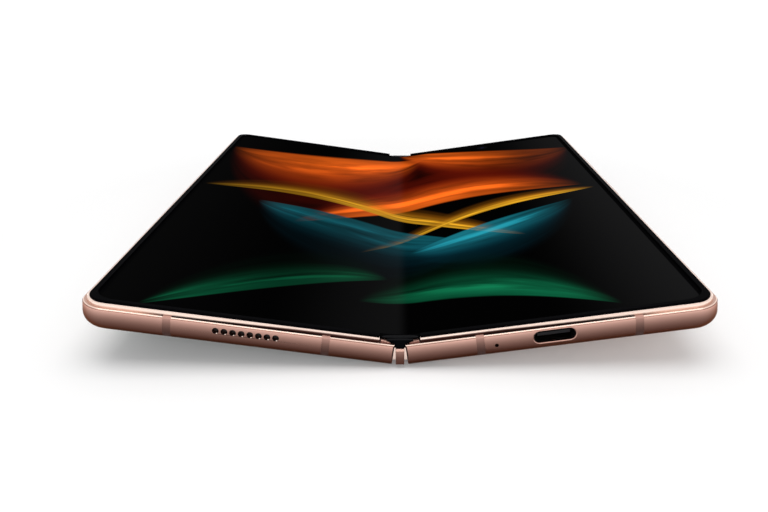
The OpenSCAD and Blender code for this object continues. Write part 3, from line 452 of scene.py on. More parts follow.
# height, slope, swing, waves across, shift, width, middle, reach and colours
WAVES = [
    (0.86, 0.04, 0.05, 2.4, 0.4, -1.05, -0.42, 0.60, EMBER),
    (0.90, -0.10, 0.05, 2.9, 1.4, -0.80, 0.50, 0.52, EMBER),
    (0.02, 0.16, 0.10, 3.1, 0.8, 0.62, 0.22, 0.72, EMBER),
    (-0.06, -0.20, 0.12, 2.8, 2.6, 0.24, -0.22, 0.78, AMBER),
    (-0.14, 0.26, 0.08, 3.6, 0.2, 0.14, 0.40, 0.58, AMBER),
    (-0.20, -0.16, 0.12, 2.6, 2.2, -0.58, -0.20, 0.50, TEAL),
    (-0.24, 0.24, 0.10, 3.0, 0.9, -0.44, 0.44, 0.40, TEAL),
    (-0.90, -0.10, 0.08, 3.4, 0.3, 0.40, 0.30, 0.46, FOREST),
    (-0.84, 0.14, 0.07, 2.7, 1.9, 0.34, -0.46, 0.42, FOREST),
]
COVER_WAVES = [
    (0.86, 0.10, 0.06, 1.7, 2.4, -0.90, 0.70, 1.10, EMBER),
    (0.10, -0.12, 0.10, 2.0, 1.7, 0.30, 0.55, 1.05, AMBER),
    (-0.02, 0.16, 0.10, 1.8, 3.0, -0.50, 0.60, 0.90, TEAL),
    (-0.80, -0.08, 0.08, 2.2, 0.9, 0.40, 0.50, 0.95, FOREST),
]
print("leaves inside:", len(WAVES), "and on the cover:", len(COVER_WAVES))


# %% Painting the leaves
def waves(made, across, up, bands):
    """Colour of the silk leaves at a place, where both coordinates run from -1 to 1."""
    picture = (0.0, 0.0, 0.0)
    for height, slope, swing, count, shift, width, middle, reach, (deep, crest) in bands:
        # -1 to 1 along the leaf, and 0 at its crest to 1 at its far side
        along = (across - middle) / reach
        taper = (1 - along * along).most(0.01) ** 0.7
        edge = (across * count + shift).sin() * swing + along * slope + height
        depth = (up - edge) / (taper * width)
        # threads are noise that is stretched along the crest
        comb = made.node("ShaderNodeCombineXYZ", {}, {0: across * 1.8, 1: depth * 7, 2: shift})
        thread = made.node("ShaderNodeTexNoise", {}, {"Vector": comb, "Scale": 1.0, "Detail": 4.0})
        body = depth.ease(0, 0.04) * (1 - depth.ease(0.05, 1)) * thread.ease(0.1, 0.6)
        # narrow pleats, a slow light along the leaf, and a bright streak below the crest
        pleat = (depth * 10 + thread * 8).sin() * 0.20 + 0.92
        light = (along * 1.9 + shift * 2.3).sin() * 0.40 + 0.74
        streak = depth.ease(0.10, 0.20) * (1 - depth.ease(0.22, 0.36)) * thread.ease(0.5, 0.66)
        silk = made.tint(made.blend(depth.ease(0, 0.6), crest, deep), pleat)
        silk = made.tint(made.blend(streak * 0.55, silk, made.tint(crest, 2.1)), light)
        picture = made.blend(body * taper.ease(0.06, 0.8), picture, silk)
    return picture


def screen(name, bands, shine):
    made = finish(name, Base_Color=(0.0025, 0.0025, 0.0028, 1), Roughness=0.16,
                  Specular_IOR_Level=shine, Emission_Strength=1.0)
    panel = made.node("ShaderNodeSeparateXYZ", {}, {
        0: made.node("ShaderNodeUVMap", {"uv_map": "panel"})})
    across = panel["X"] * 2 - 1
    made.feed("Emission Color", waves(made, across, panel["Y"] * 2 - 1, bands))
    return made, across


print("leaves are painted from the back to the front")

# %% [markdown]
# The layers of the inner screen throw back a little grey, more towards the right
# side and beside the crease. A shine could do that, but it would veil the whole
# picture at a low angle, so that reflection is painted: a very faint grey in the base
# colour, eased across the screen.

# %% The two screens and the border round them
inner, across = screen("inner_screen", WAVES, 0)
# painted reflection: faint grey, more at the right side and beside the crease
crease = across.ease(0.035, -0.015) * across.ease(-0.5, 0.05)
painted_reflection = across.ease(0.5, 1.15) * 0.010 + crease * 0.0046
painted_reflection = painted_reflection + across.ease(-0.4, -1.2) * 0.0020 + 0.0006
inner.feed("Base Color", inner.tint((1.0, 1.0, 1.03), painted_reflection))
screen("cover_screen", COVER_WAVES, 0.03)
finish("screen_border", Base_Color=(0.0018, 0.0018, 0.0020, 1), Roughness=0.20,
       Specular_IOR_Level=0)
print("nodes of the inner screen:", len(inner.tree.nodes))

# %% [markdown]
# ## Finishing a machined part
#
# A solid from a drawing has perfectly sharp edges, and no real edge is. They could
# be beveled in the mesh, but a Bevel modifier keeps the width open to change.
# `polish` takes a copy of a solid, merges its loose triangles into one skin, melts
# the flat ones together and lets the modifier round every edge a little. The normals
# are hardened so that the big faces stay flat and only the edges catch the light.

# %% Copying and placing
EDGE_ANGLE = 32  # degrees; flatter edges stay smooth
WELD, NEW_WELD = 0.0005 * MM, 0.001 * MM  # points this close are one


def merged(node):
    """A bmesh of a solid with its doubles merged and its flats dissolved."""
    bm = bmesh.new()
    bm.from_mesh(nodes[node].data)
    bmesh.ops.remove_doubles(bm, verts=bm.verts, dist=WELD)
    bmesh.ops.dissolve_limit(bm, angle_limit=radians(0.4), verts=bm.verts, edges=bm.edges)
    return bm


def settle(bm, name, body, coats, slot=None, place=None, smooth=EDGE_ANGLE):
    """Puts a bmesh in its place as a piece of a body, with one or more finishes."""
    if place:
        bmesh.ops.transform(bm, matrix=place, verts=bm.verts)
        bmesh.ops.recalc_face_normals(bm, faces=bm.faces)
    mesh = bpy.data.meshes.new(name)
    bm.to_mesh(mesh)
    bm.free()
    piece = bpy.data.objects.new(name, mesh)
    bpy.context.scene.collection.objects.link(piece)
    for coat in coats:
        mesh.materials.append(finishes[coat].material)
    mesh.polygons.foreach_set("use_smooth", [True] * len(mesh.polygons))
    mesh.set_sharp_from_angle(angle=radians(smooth))
    if body:
        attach(piece, body)
        slot or coats[0]
    return piece


skin = merged("left_frame")
print("left frame:", len(nodes["left_frame"].data.vertices), "corners, merged to", len(skin.verts))
skin.free()

# %% Rounding and polishing
body_of = {member: body for body, members in frame["record"]["behaviour"]["bodies"].items()
           for member in members}


def round_edges(piece, width):
    bevel = piece.modifiers.new("edges", "BEVEL")
    bevel.width, bevel.segments, bevel.profile = width, 2, 0.5
    bevel.limit_method, bevel.angle_limit = "ANGLE", radians(EDGE_ANGLE)
    bevel.harden_normals = True
    return piece


def polish(node, *coats, width, slot=None, choose=None, cut=None):
    """The finished copy of a solid; choose gives a face's finish in flat space."""
    body = body_of[node]
    bm = merged(node)
    undo = PLACES[body].inverted() if body in PLACES else None
    if choose:
        turn = undo.to_3x3()
        for face in bm.faces:
            face.material_index = choose(undo @ face.calc_center_median(), turn @ face.normal)
    if cut:
        cut(bm, undo)
    piece = settle(bm, node + "_finished", body, coats, slot)
    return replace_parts(round_edges(piece, width), node)


print("solids by body:", {body: sum(b == body for b in body_of.values()) for body in PLACES})

# %% [markdown]
# ## The frames
#
# Each frame is one milled ring with a plate in it. Three narrow strips of it are
# cut bright after the anodising: the bevel along the top of the side wall, the
# bevel on the lip round the display, and the upright chamfers where the two
# halves meet at the fold. The chamfers at the fold are given a painted shade, a dark
# bronze, in place of their bright cut. The faces could be picked by hand in the editor,
# but a change of the solid would undo that. Here they are found by their slant and place.
# The lip's outer wall and the seam at its foot get finishes of their own.

# %% Telling the faces of a frame apart
FRAME_COATS = ["satin_bronze", "polished_bronze", "rim_bronze", "lip_bronze", "seam_bronze",
               "hole_black", "shade_bronze", "socket_bronze"]
SATIN, POLISHED, RIM, LIP, SEAM, HOLE, SHADE, SOCKET = range(len(FRAME_COATS))
UPRIGHT_BELOW, LEVEL_ABOVE = 0.4, 0.92  # a slanted face lies between these
RIM_TOP, RIM_H, LIP_FOOT = -0.6 * MM, 0.35 * MM, 0.06 * MM
SHOULDER_END, CHAMFER, NEAR = 3.9 * MM, 0.31 * MM, 0.02 * MM


def slants(part):
    return UPRIGHT_BELOW < abs(part) < LEVEL_ABOVE


def frame_face(centre, normal):
    # the chamfers at the fold get a painted shade
    if centre.x < hinge_edge + CHAMFER and slants(normal.x):
        return SHADE
    if centre.z > LIP_FOOT:
        return POLISHED
    if centre.z > RIM_TOP - NEAR and centre.x > SHOULDER_END:
        return LIP if abs(normal.z) < UPRIGHT_BELOW else SEAM
    return RIM if slants(normal.z) and centre.z > RIM_TOP - RIM_H else SATIN


print("finishes of a frame:", FRAME_COATS)

# %% [markdown]
# The openings in the wall of the lower end have a fine countersink: the speaker
# holes in a black painted shade with a painted highlight at the foot of each, the socket
# in dull metal. A Bevel modifier would round every edge alike, so only these edges are
# beveled in the mesh, and each new face gets its finish by its place round the hole.

# %% Countersinks
SPEAKER_U, SPEAKER_PITCH, SPEAKER_Z, HOLES = 24.55 * MM, 1.7 * MM, -2.2 * MM, 8
HOLE_REACH, HOLE_SINK = (0.7 * MM, 0.7 * MM), 0.12 * MM
SOCKET_REACH, SOCKET_SINK = (5 * MM, 2 * MM), 0.16 * MM
END_DEPTH = 0.4 * MM
# angles round a speaker hole that take the painted highlight
GLINT_FROM, GLINT_TO = -2.3, -1.75


def open_edges(bm, undo, middle, reach):
    """Edges of openings in the wall of the lower end, within reach of a place."""
    found = []
    for edge in bm.edges:
        if len(edge.link_faces) != 2:
            continue
        inward, outward = sorted(abs(face.normal.y) for face in edge.link_faces)
        at = undo @ ((edge.verts[0].co + edge.verts[1].co) / 2)
        near = abs(at.x - middle[0]) < reach[0] and abs(at.z - middle[1]) < reach[1]
        if near and inward < 0.1 and outward > 0.75 and at.y < END_DEPTH - half_len:
            found.append(edge)
    return found


def sink(bm, undo, middle, reach, width, coat):
    """Countersinks openings; coat gives the finish by the place round the middle."""
    edges = open_edges(bm, undo, middle, reach)
    made = bmesh.ops.bevel(bm, geom=edges, offset=width, offset_type="OFFSET", segments=1,
                           profile=0.5, affect="EDGES", material=-1)
    for face in made["faces"]:
        at = undo @ face.calc_center_median()
        face.material_index = coat(at.x - middle[0], at.z - middle[1])
    return len(edges)


# painted highlight on the lower faces of a speaker countersink, painted shade on the rest
def painted_glint(across, up):
    return POLISHED if GLINT_FROM < atan2(up, across) < GLINT_TO else HOLE


def right_cuts(bm, undo):
    middle = (socket_u, socket_z)
    count = sink(bm, undo, middle, SOCKET_REACH, SOCKET_SINK, lambda across, up: SOCKET)
    print("edges of the socket:", count)


def left_cuts(bm, undo):
    for index in range(HOLES):
        middle = (SPEAKER_U + index * SPEAKER_PITCH, SPEAKER_Z)
        count = sink(bm, undo, middle, HOLE_REACH, HOLE_SINK, painted_glint)
    print("edges of a speaker hole:", count)


shell_low, shell_high = flat_box("usb_shell", "right_half")
socket_u, socket_z = (shell_low.x + shell_high.x) / 2, (shell_low.z + shell_high.z) / 2
print("socket at", round(socket_u / MM, 2), "mm from the fold")

# %% Frames, spine, caps and keys
for node, cuts in (("right_frame", right_cuts), ("left_frame", left_cuts)):
    polish(node, *FRAME_COATS, width=0.04 * MM, choose=frame_face, cut=cuts)
for node in ("right_antenna_bands", "left_antenna_bands"):
    polish(node, "antenna_plastic", width=0.02 * MM)
polish("hinge_cover", "polished_spine", "polished_bronze", width=0.05 * MM,
       choose=lambda centre, normal: int(abs(normal.y) > 0.9))
polish("hinge_end_caps", "satin_bronze", "polished_spine", width=0.03 * MM,
       choose=lambda centre, normal: int(slants(normal.z)))
polish("tee_caps", "cap_black", slot="soft_black", width=0.05 * MM)
for node in ("power_key", "volume_key"):
    polish(node, "satin_bronze", width=0.12 * MM)
polish("sim_tray", "satin_bronze", width=0.05 * MM)
print("frames, spine, caps and keys finished")

# %% [markdown]
# ## The bezels
#
# The bezel is a soft plastic rim that keeps the two screens apart when the phone
# is shut. It is black, nearly matt and round on top. It could be modelled again, but
# the solid has its shape, so it is only polished.

# %% Bezels
for node in ("right_bezel", "left_bezel"):
    polish(node, "gloss_black", width=0.05 * MM)
print("bezels finished")

# %% [markdown]
# ## The folding display
#
# The display is one sheet that bends over the fold. A crisp crease would look like
# two boards, so the sheet follows an arc, whose radius comes from the hinge axis
# and the tilt, so that it meets both halves without a kink. Each half of the sheet
# starts as one flat face, rounded at its outer corners, thickened by an extrusion,
# and cut by many planes near the fold so that it can bend. Then every point is
# moved onto the arc. The two halves meet at the middle, so no gap opens between them.

# %% Bending flat pieces over the fold
bend_r = axis_x / tan(TILT / 2)
SOFT_ANGLE = 40


def on_arc(side, point):
    """Moves a point of the flat sheet, u across and z up, onto the folded shape."""
    turn = min(point.x / bend_r, TILT)
    rest = point.x - turn * bend_r
    across = bend_r * sin(turn) + rest * cos(turn) - point.z * sin(turn)
    up = bend_r * (1 - cos(turn)) + rest * sin(turn) + point.z * cos(turn)
    return Vector((side * across, point.y, lift + up))


def bend(bm, side):
    for vert in bm.verts:
        vert.co = on_arc(side, vert.co)
    bm.normal_update()
    bmesh.ops.recalc_face_normals(bm, faces=bm.faces)


def settle_bent(bm, name, coats):
    """Places a bent piece in the scene, with its placing baked into its mesh."""
    piece = settle(bm, name, None, coats, smooth=SOFT_ANGLE)
    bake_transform(piece)
    return piece


print("radius of the bend:", round(bend_r / MM, 1), "mm")


# %% Flat plates with a thickness
def plate(reach, end, radius):
    """A flat face from the fold to reach, rounded at its two outer corners."""
    bm = bmesh.new()
    corners = [bm.verts.new(at) for at in
               ((0, -end, 0), (reach, -end, 0), (reach, end, 0), (0, end, 0))]
    bm.faces.new(corners)
    bmesh.ops.bevel(bm, geom=corners[1:3], offset=radius, offset_type="OFFSET", segments=8,
                    profile=0.5, affect="VERTICES", material=-1)
    return bm


def thicken(bm, height):
    """Extrudes every face of a flat bmesh by a height."""
    grown = bmesh.ops.extrude_face_region(bm, geom=bm.faces[:])["geom"]
    bmesh.ops.translate(bm, vec=(0, 0, height),
                        verts=[v for v in grown if isinstance(v, bmesh.types.BMVert)])
    bmesh.ops.recalc_face_normals(bm, faces=bm.faces)


def map_panel(bm, reach, end, side):
    """Writes the panel map: 0 to 1 across the whole open display and along it."""
    layer = bm.loops.layers.uv.new("panel")
    for face in bm.faces:
        for loop in face.loops:
            at = loop.vert.co
            loop[layer].uv = (0.5 + side * at.x / reach / 2, 0.5 + at.y / end / 2)


trial = plate(30 * MM, 70 * MM, 3 * MM)
print("corners of a rounded plate:", len(trial.verts))
trial.free()

# %% [markdown]
# Below lies the dark sheet, and on it a film that carries the picture and stops
# short of the bezel, so that its edge draws a thin line all round. Both are the same
# plate with another inset.

# %% Sheet and film, one half at a time
panel_reach, panel_end = panel_high.x, panel_high.y
SHEET_T, FILM_T, FILM_INSET = 0.4 * MM, 0.05 * MM, 1.6 * MM
CORNER_R = 3.6 * MM
BEND_CUTS, BEND_REACH = 26, 5.8 * MM


def display_layer(name, side, inset, height, coat):
    """Half of a layer of the display, inset from the panel's edge."""
    reach, end = panel_reach - inset, panel_end - inset
    bm = plate(reach, end, CORNER_R - inset)
    thicken(bm, height)
    for step in range(1, BEND_CUTS):
        bmesh.ops.bisect_plane(bm, geom=bm.verts[:] + bm.edges[:] + bm.faces[:], dist=1e-9,
                               plane_co=(BEND_REACH * step / BEND_CUTS, 0, 0), plane_no=(1, 0, 0))
    map_panel(bm, reach, end, side)
    bend(bm, side)
    return settle_bent(bm, name, [coat])


for side, hand in ((1, "right"), (-1, "left")):
    sheet = display_layer("display_sheet_" + hand, side, 0, -SHEET_T, "screen_border")
    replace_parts(sheet, hand + "_display", "display_fold")
    display_layer("display_film_" + hand, side, FILM_INSET, FILM_T, "inner_screen")
print("display", round(2 * panel_reach / MM, 1), "x", round(2 * panel_end / MM, 1), "mm")

# %% [markdown]
# At each end of the fold a small dark tab lies on the sheet, rounded like a half
# moon, and hides where the sheet goes under the cap. A flat disc cut in two would
# stay stiff, so the tab is a strip of narrow faces that bends with the sheet.

# %% Tabs at the ends of the fold
TAB_REACH, TAB_DEPTH, TAB_EDGE, TAB_T = 3.6 * MM, 0.95 * MM, 0.25 * MM, 0.06 * MM
TAB_STEPS = 14


def fold_tab(name, side):
    """Half of both tabs: a strip from the end of the sheet to an arc."""
    bm = bmesh.new()
    for end in (-1, 1):
        for step in range(TAB_STEPS):
            spans = [TAB_REACH * (step + more) / TAB_STEPS for more in (0, 1)]
            depths = [TAB_EDGE + TAB_DEPTH * sqrt(1 - (u / TAB_REACH) ** 2) for u in spans]
            corners = [(spans[0], panel_end), (spans[1], panel_end),
                       (spans[1], panel_end - depths[1]), (spans[0], panel_end - depths[0])]
            bm.faces.new([bm.verts.new((u, end * y, 0)) for u, y in corners])
    bmesh.ops.remove_doubles(bm, verts=bm.verts, dist=NEW_WELD)
    thicken(bm, TAB_T)
    bend(bm, side)
    for face in bm.faces:
        # upright faces of the tab take the painted highlight
        face.material_index = int(abs(face.normal.z) < 0.7)
    return settle_bent(bm, name, ["cap_black", "cap_edge_highlight"])


for side, hand in ((1, "right"), (-1, "left")):
    tab = fold_tab("fold_tabs_" + hand, side)
print("faces of half the tabs:", len(tab.data.polygons))

# %% [markdown]
# ## The outside: back glass and cover screen
#
# On the right half the outside is one etched glass that wraps over the edges. On
# the left half it is a clear glass over a narrow screen. Both could be shown, one
# behind the other, but the picture would then be seen through two faces. It lies on
# the glass itself, seen closer, and fades out before its edge, so the glass needs
# no window of its own.

# %% Back glass and cover glass
def mapped(node, body):
    """A merged copy of a solid with a panel map laid over it from above."""
    bm = merged(node)
    low, high = flat_box(node, body)
    undo = PLACES[body].inverted()
    layer = bm.loops.layers.uv.new("panel")
    for face in bm.faces:
        for loop in face.loops:
            at = undo @ loop.vert.co
            loop[layer].uv = ((at.x - low.x) / (high.x - low.x), (at.y - low.y) / (high.y - low.y))
    return bm


cover = settle(mapped("cover_glass", "left_half"), "cover_glass_finished", "left_half",
               ["cover_screen"], "cover_glass")
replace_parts(round_edges(cover, 0.1 * MM), "cover_glass")
polish("back_glass", "frosted_glass", width=0.1 * MM)
print("faces of the cover glass:", len(cover.data.polygons))

# %% [markdown]
# ## The camera housing
#
# Three tiers: a satin step that rises from the back, a mirror-polished wall, and a
# tinted glass set inside it with a hair of a gap. The step and the wall could be two
# pieces, but the real ones are one, so one skin gets two finishes by its height.

# %% Housing and its glass
STEP_H = 0.72 * MM
step_z = body_low.z - STEP_H
polish("camera_rim", "polished_copper", "satin_skirt", width=0.12 * MM,
       choose=lambda centre, normal: int(centre.z > step_z))
# the sides of the glass get steel: a painted bright line round its edge
polish("camera_glass", "dark_glass", "steel", width=0.05 * MM,
       choose=lambda centre, normal: int(abs(normal.z) < 0.5))
print("step of the housing:", round(STEP_H / MM, 2), "mm")

# %% [markdown]
# ## Lenses
#
# A lens could be stacked from cylinders, but it is a turned part, so it is made
# like one: half a section is drawn as a chain of points and spun round the axis.
# There are four sections. The copper ring has a rounded crown. The barrel steps
# inwards in blackened baffles. The front element is a shallow dome with a violet
# coating, and a clear window closes the barrel flush with the housing's glass.

# %% Turning a section into a solid
def turned(bm, section, centre, steps):
    """Spins a chain of (radius, depth) points round an upright axis through centre."""
    chain = [bm.verts.new((centre.x + r, centre.y, centre.z + z)) for r, z in section]
    edges = [bm.edges.new(pair) for pair in zip(chain, chain[1:])]
    bmesh.ops.spin(bm, geom=chain + edges, cent=centre, axis=(0, 0, 1), angle=2 * pi, steps=steps,
                   use_merge=True, use_duplicate=False)
    bmesh.ops.remove_doubles(bm, verts=bm.verts, dist=NEW_WELD)


def turned_piece(name, section, centres, coat, slot, body="right_half", steps=48):
    bm = bmesh.new()
    for centre in centres:
        turned(bm, section, centre, steps)
    bmesh.ops.recalc_face_normals(bm, faces=bm.faces)
    return settle(bm, name, body, [coat], slot, PLACES[body])


def arc(r, start, end, centre=(0, 0), steps=6):
    """Points of an arc in a section, angles in degrees."""
    angles = [radians(start + (end - start) * i / steps) for i in range(steps + 1)]
    return [(centre[0] + r * cos(a), centre[1] + r * sin(a)) for a in angles]


print("points of an arc:", len(arc(1, 0, 90)))

# %% Where the three lenses sit
RING_WALL = 0.7 * MM
ring_low, ring_high = flat_box("lens_rings", "right_half")
glass_z = flat_box("camera_glass", "right_half")[0].z
ring_r = (ring_high.x - ring_low.x) / 2
bore_r = ring_r - RING_WALL
lens_u, lens_y = middle_of(ring_low, ring_high)
lens_centres = [Vector((lens_u, y, glass_z))
                for y in (ring_low.y + ring_r, lens_y, ring_high.y - ring_r)]
print("lens rings of", round(2 * ring_r / MM, 2), "mm at", [round(c.y / MM, 1) for c in lens_centres])

# %% Rings and barrels
CROWN, RING_FOOT, BARREL_GAP, BARREL_END = 0.12 * MM, 0.05 * MM, 0.02 * MM, 5.0 * MM
ring_h = glass_z - ring_low.z
ring_section = ([(bore_r, RING_FOOT)] + arc(CROWN, 180, 270, (bore_r + CROWN, CROWN - ring_h))
                + arc(CROWN, 270, 360, (ring_r - CROWN, CROWN - ring_h))
                + [(ring_r, RING_FOOT), (bore_r, RING_FOOT)])
rings = turned_piece("lens_rings_turned", ring_section, lens_centres, "polished_copper",
                     "polished_copper", steps=64)
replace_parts(rings, "lens_rings")

BAFFLE_BORE = 4.1  # the bore for which the baffles are drawn, in mm
baffles = [(3.95, 0.08), (3.45, 0.28), (3.42, 0.42), (2.95, 0.46), (2.62, 0.78), (2.58, 0.92),
           (2.25, 0.95), (2.20, 1.15), (0, 1.15)]
barrel_r = bore_r - BARREL_GAP
barrel_section = [(0, BARREL_END), (barrel_r, BARREL_END), (barrel_r, 0.06 * MM)]
barrel_section += [(r * bore_r / BAFFLE_BORE, z * MM) for r, z in baffles]
barrels = turned_piece("lens_barrels", barrel_section, lens_centres, "baffle_black", "soft_black")
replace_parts(barrels, "lens_modules")
print("baffles in each barrel:", len(baffles) // 2)

# %% Domes and windows
DOME_R, DOME_TOP, DOME_FOOT = 4.6 * MM, 0.62 * MM, 1.3 * MM
dome_section = [(r, z + DOME_R + DOME_TOP) for r, z in arc(DOME_R, -90, -62, steps=8)]
dome_r = dome_section[-1][0]
dome_section += [(dome_r, DOME_FOOT), (0, DOME_FOOT)]
turned_piece("lens_domes", dome_section, lens_centres, "lens_coating", "dark_glass")

WINDOW_TOP, WINDOW_EDGE, WINDOW_FOOT = 0.03 * MM, 0.06 * MM, 0.1 * MM
window_section = [(0, WINDOW_TOP), (bore_r - WINDOW_EDGE, WINDOW_TOP), (barrel_r, WINDOW_EDGE),
                  (barrel_r, WINDOW_FOOT), (0, WINDOW_FOOT)]
turned_piece("lens_windows", window_section, lens_centres, "clear_window", "dark_glass")
print("domes of", round(2 * dome_r / MM, 2), "mm behind windows of", round(2 * barrel_r / MM, 2))

# %% [markdown]
# ## The flash
#
# The flash is a diffuser with moulded rings over a yellow emitter. A disc with
# painted rings would go flat from the side, so it is turned like a lens: a dark well
# with two grooves, and a low dome of emitter with a faint painted glow, though the
# flash is off.

# %% Flash
flash_low, flash_high = flat_box("flash", "right_half")
flash_r = (flash_high.x - flash_low.x) / 2
flash_centre = Vector((*middle_of(flash_low, flash_high), glass_z))
FLASH_FOOT, EMITTER_SHARE, EMITTER_H = 3.2 * MM, 0.56, 0.14 * MM
WELL_FLOOR = 0.2 * MM
emitter_r = flash_r * EMITTER_SHARE
flash_section = [(0, FLASH_FOOT), (flash_r, FLASH_FOOT), (flash_r, 0.1 * MM),
                 (flash_r - 0.1 * MM, 0)]
for groove in (0.86, 0.70):
    r = flash_r * groove
    flash_section += [(r, 0.14 * MM), (r - 0.02 * MM, 0.04 * MM)]
flash_section += [(emitter_r, WELL_FLOOR), (0, WELL_FLOOR)]
well = turned_piece("flash_diffuser", flash_section, [flash_centre], "flash_well", "flash_lens",
                    steps=40)
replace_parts(well, "flash")

# the emitter's emission is a painted glow; the flash is not lit
lamp = finish("flash_lens", Coat_Weight=0.5, Coat_Roughness=0.05, Roughness=0.22,
              Emission_Strength=0.10)
painted_glow_mask = lamp.noise(1.3 * MM, detail=1).ease(0.3, 0.7)
lamp.feed("Base Color", lamp.blend(painted_glow_mask, (0.16, 0.15, 0.03), (0.74, 0.76, 0.34)))
lamp.feed("Emission Color", lamp.blend(painted_glow_mask, (0.16, 0.14, 0.02), (0.95, 0.95, 0.5)))
emitter_foot = WELL_FLOOR + 0.04 * MM
emitter_section = [(0, emitter_foot), (emitter_r - 0.02 * MM, emitter_foot)]
emitter_section += [(emitter_r * cos(radians(a)), WELL_FLOOR - EMITTER_H * sin(radians(a)))
                    for a in range(0, 91, 15)]
turned_piece("flash_emitter", emitter_section, [flash_centre], "flash_lens", "flash_lens",
             steps=40)
print("flash of", round(2 * flash_r / MM, 2), "mm")

# %% [markdown]
# ## The two selfie cameras
#
# The selfie cameras look through the display and the cover glass, so only an eye
# shows. A hole through the sheet would bring nothing to see behind it. A black disc
# lies a hair proud of the glass instead, with a small coated dome in it.

# %% Eyes of the selfie cameras
EYE_SHEET, EYE_RIM, EYE_WELL = -0.03, 0.02, -0.01  # heights over the surface, in mm


def eye(name, node, radius, surface, outwards, body):
    """A black disc and a coated dome on a surface; outwards is +1 up or -1 down."""
    centre = Vector((*middle_of(*flat_box(node, body)), surface))
    up = outwards * MM
    disc = [(0, EYE_SHEET * up), (radius, EYE_SHEET * up), (radius - 0.02 * MM, EYE_RIM * up),
            (radius * 0.52, EYE_RIM * up), (radius * 0.48, EYE_WELL * up), (0, EYE_WELL * up)]
    ring = turned_piece(name, disc, [centre], "black_glass", "soft_black", body, steps=40)
    dome = [(0, EYE_WELL * up), (radius * 0.4, EYE_WELL * up), (radius * 0.32, 0.02 * up),
            (radius * 0.16, 0.035 * up), (0, 0.04 * up)]
    turned_piece(name + "_dome", dome, [centre], "eye_coating", "dark_glass", body, steps=40)
    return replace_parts(ring, node)


eye("inner_camera_eye", "inner_camera", 2.1 * MM, FILM_T, 1, "right_half")
eye("cover_camera_eye", "cover_camera", 1.9 * MM, body_low.z, -1, "left_half")
print("eyes on the display and on the cover glass")

# %% [markdown]
# ## The socket and the speakers
#
# The socket is a steel shell round a black tongue with gold contacts on both
# faces. The contacts could be painted stripes, but they stand a hair proud of the
# tongue and catch the light, so each is a small beveled block. Behind the speaker
# holes lies a metal mesh that keeps dust out. Its wires are too fine to model, so a
# disc carries them as a pattern.

# %% Socket
polish("usb_shell", "dark_steel", slot="steel", width=0.05 * MM)
polish("usb_tongue", "soft_black", width=0.08 * MM)
tongue_low, tongue_high = flat_box("usb_tongue", "right_half")
tongue_u = (tongue_low.x + tongue_high.x) / 2
PADS, PAD_LEN, PAD_T, PAD_FROM = 12, 3.4 * MM, 0.06 * MM, 2.6 * MM
pad_pitch = (tongue_high.x - tongue_low.x) * 0.86 / PADS
pad_size = Matrix.Diagonal((pad_pitch * 0.55, PAD_LEN, PAD_T, 1))
bm = bmesh.new()
for index in range(PADS):
    u = tongue_u + (index - (PADS - 1) / 2) * pad_pitch
    for z in (tongue_low.z, tongue_high.z):
        at = Matrix.Translation((u, tongue_low.y + PAD_FROM, z))
        bmesh.ops.create_cube(bm, size=1, matrix=at @ pad_size)
bmesh.ops.bevel(bm, geom=bm.edges[:], offset=0.015 * MM, offset_type="OFFSET", segments=1,
                profile=0.5, affect="EDGES", material=-1)
settle(bm, "socket_contacts", "right_half", ["gold"], "steel", RIGHT)
print("contacts in the socket:", 2 * PADS)

# %% Speaker mesh
MESH_PER_METRE, MESH_R, MESH_T = 6500.0, 0.53 * MM, 0.12 * MM
weave = finish("speaker_mesh", Metallic=0.8)
lattice = weave.node("ShaderNodeTexVoronoi", {"distance": "CHEBYCHEV"}, {
    "Vector": weave.place(), "Scale": MESH_PER_METRE, "Randomness": 0.0})
weave.feed("Base Color", weave.blend(lattice.ease(0.25, 0.45), (0.004, 0.004, 0.005),
                                     (0.055, 0.052, 0.052)))
weave.feed("Roughness", lattice * 0.3 + 0.35)
weave.bump(lattice, 0.5, 0.03 * MM)
upright = Matrix.Rotation(pi / 2, 4, "X")
bm = bmesh.new()
for end in (-1, 1):
    for index in range(HOLES):
        u = SPEAKER_U + index * SPEAKER_PITCH
        at = Matrix.Translation((u, end * (half_len - MM), SPEAKER_Z)) @ upright
        bmesh.ops.create_cone(bm, cap_ends=True, segments=24, radius1=MESH_R, radius2=MESH_R,
                              depth=MESH_T, matrix=at)
settle(bm, "speaker_meshes", "left_half", ["speaker_mesh"], "soft_black", LEFT)
print("discs of mesh:", 2 * HOLES)

# %% [markdown]
# ## The works inside
#
# Everything under the skin keeps its solid and gets its material: polyimide and
# copper for ribbons and coil, boards, cells, and stainless steel for the rest. They
# could be polished like the outside, but they show only with a glass off and at the
# open ends of the hinge, so the plain solids will do.

# %% Materials for the solids that stay
NOT_STEEL = {
    "copper_ribbon": ["flex_ribbons", "charging_coil"],
    "circuit_board": ["main_board", "sub_board"],
    "battery_pouch": ["right_battery", "left_battery"],
    "soft_black": ["speaker_box", "top_speaker"],
    "screen_border": ["cover_display"],
}
coat_of = {node: coat for coat, members in NOT_STEEL.items() for node in members}
kept = [node for node in nodes if not nodes[node].hide_render]
for node in kept:
    nodes[node].data.materials.clear()
    nodes[node].data.materials.append(finishes[coat_of.get(node, "steel")].material)
print("solids kept:", len(kept), "of which steel:", len(set(kept) - set(coat_of)))

# %% [markdown]
# ## Floor, light and camera
#
# The phone lies on a pale floor under a wide soft light. More light would turn the
# floor white, but the phone would pale with it. So the white is painted only for
# rays that come from the camera, a mirror or a glass, and adds no light to the
# phone. The floor gets a trace of it near the phone, where the shadow lies, and all
# of it far away, so that no horizon shows. The camera sits low, just past the near
# edge; a small sideways shift puts the fold right of the middle.

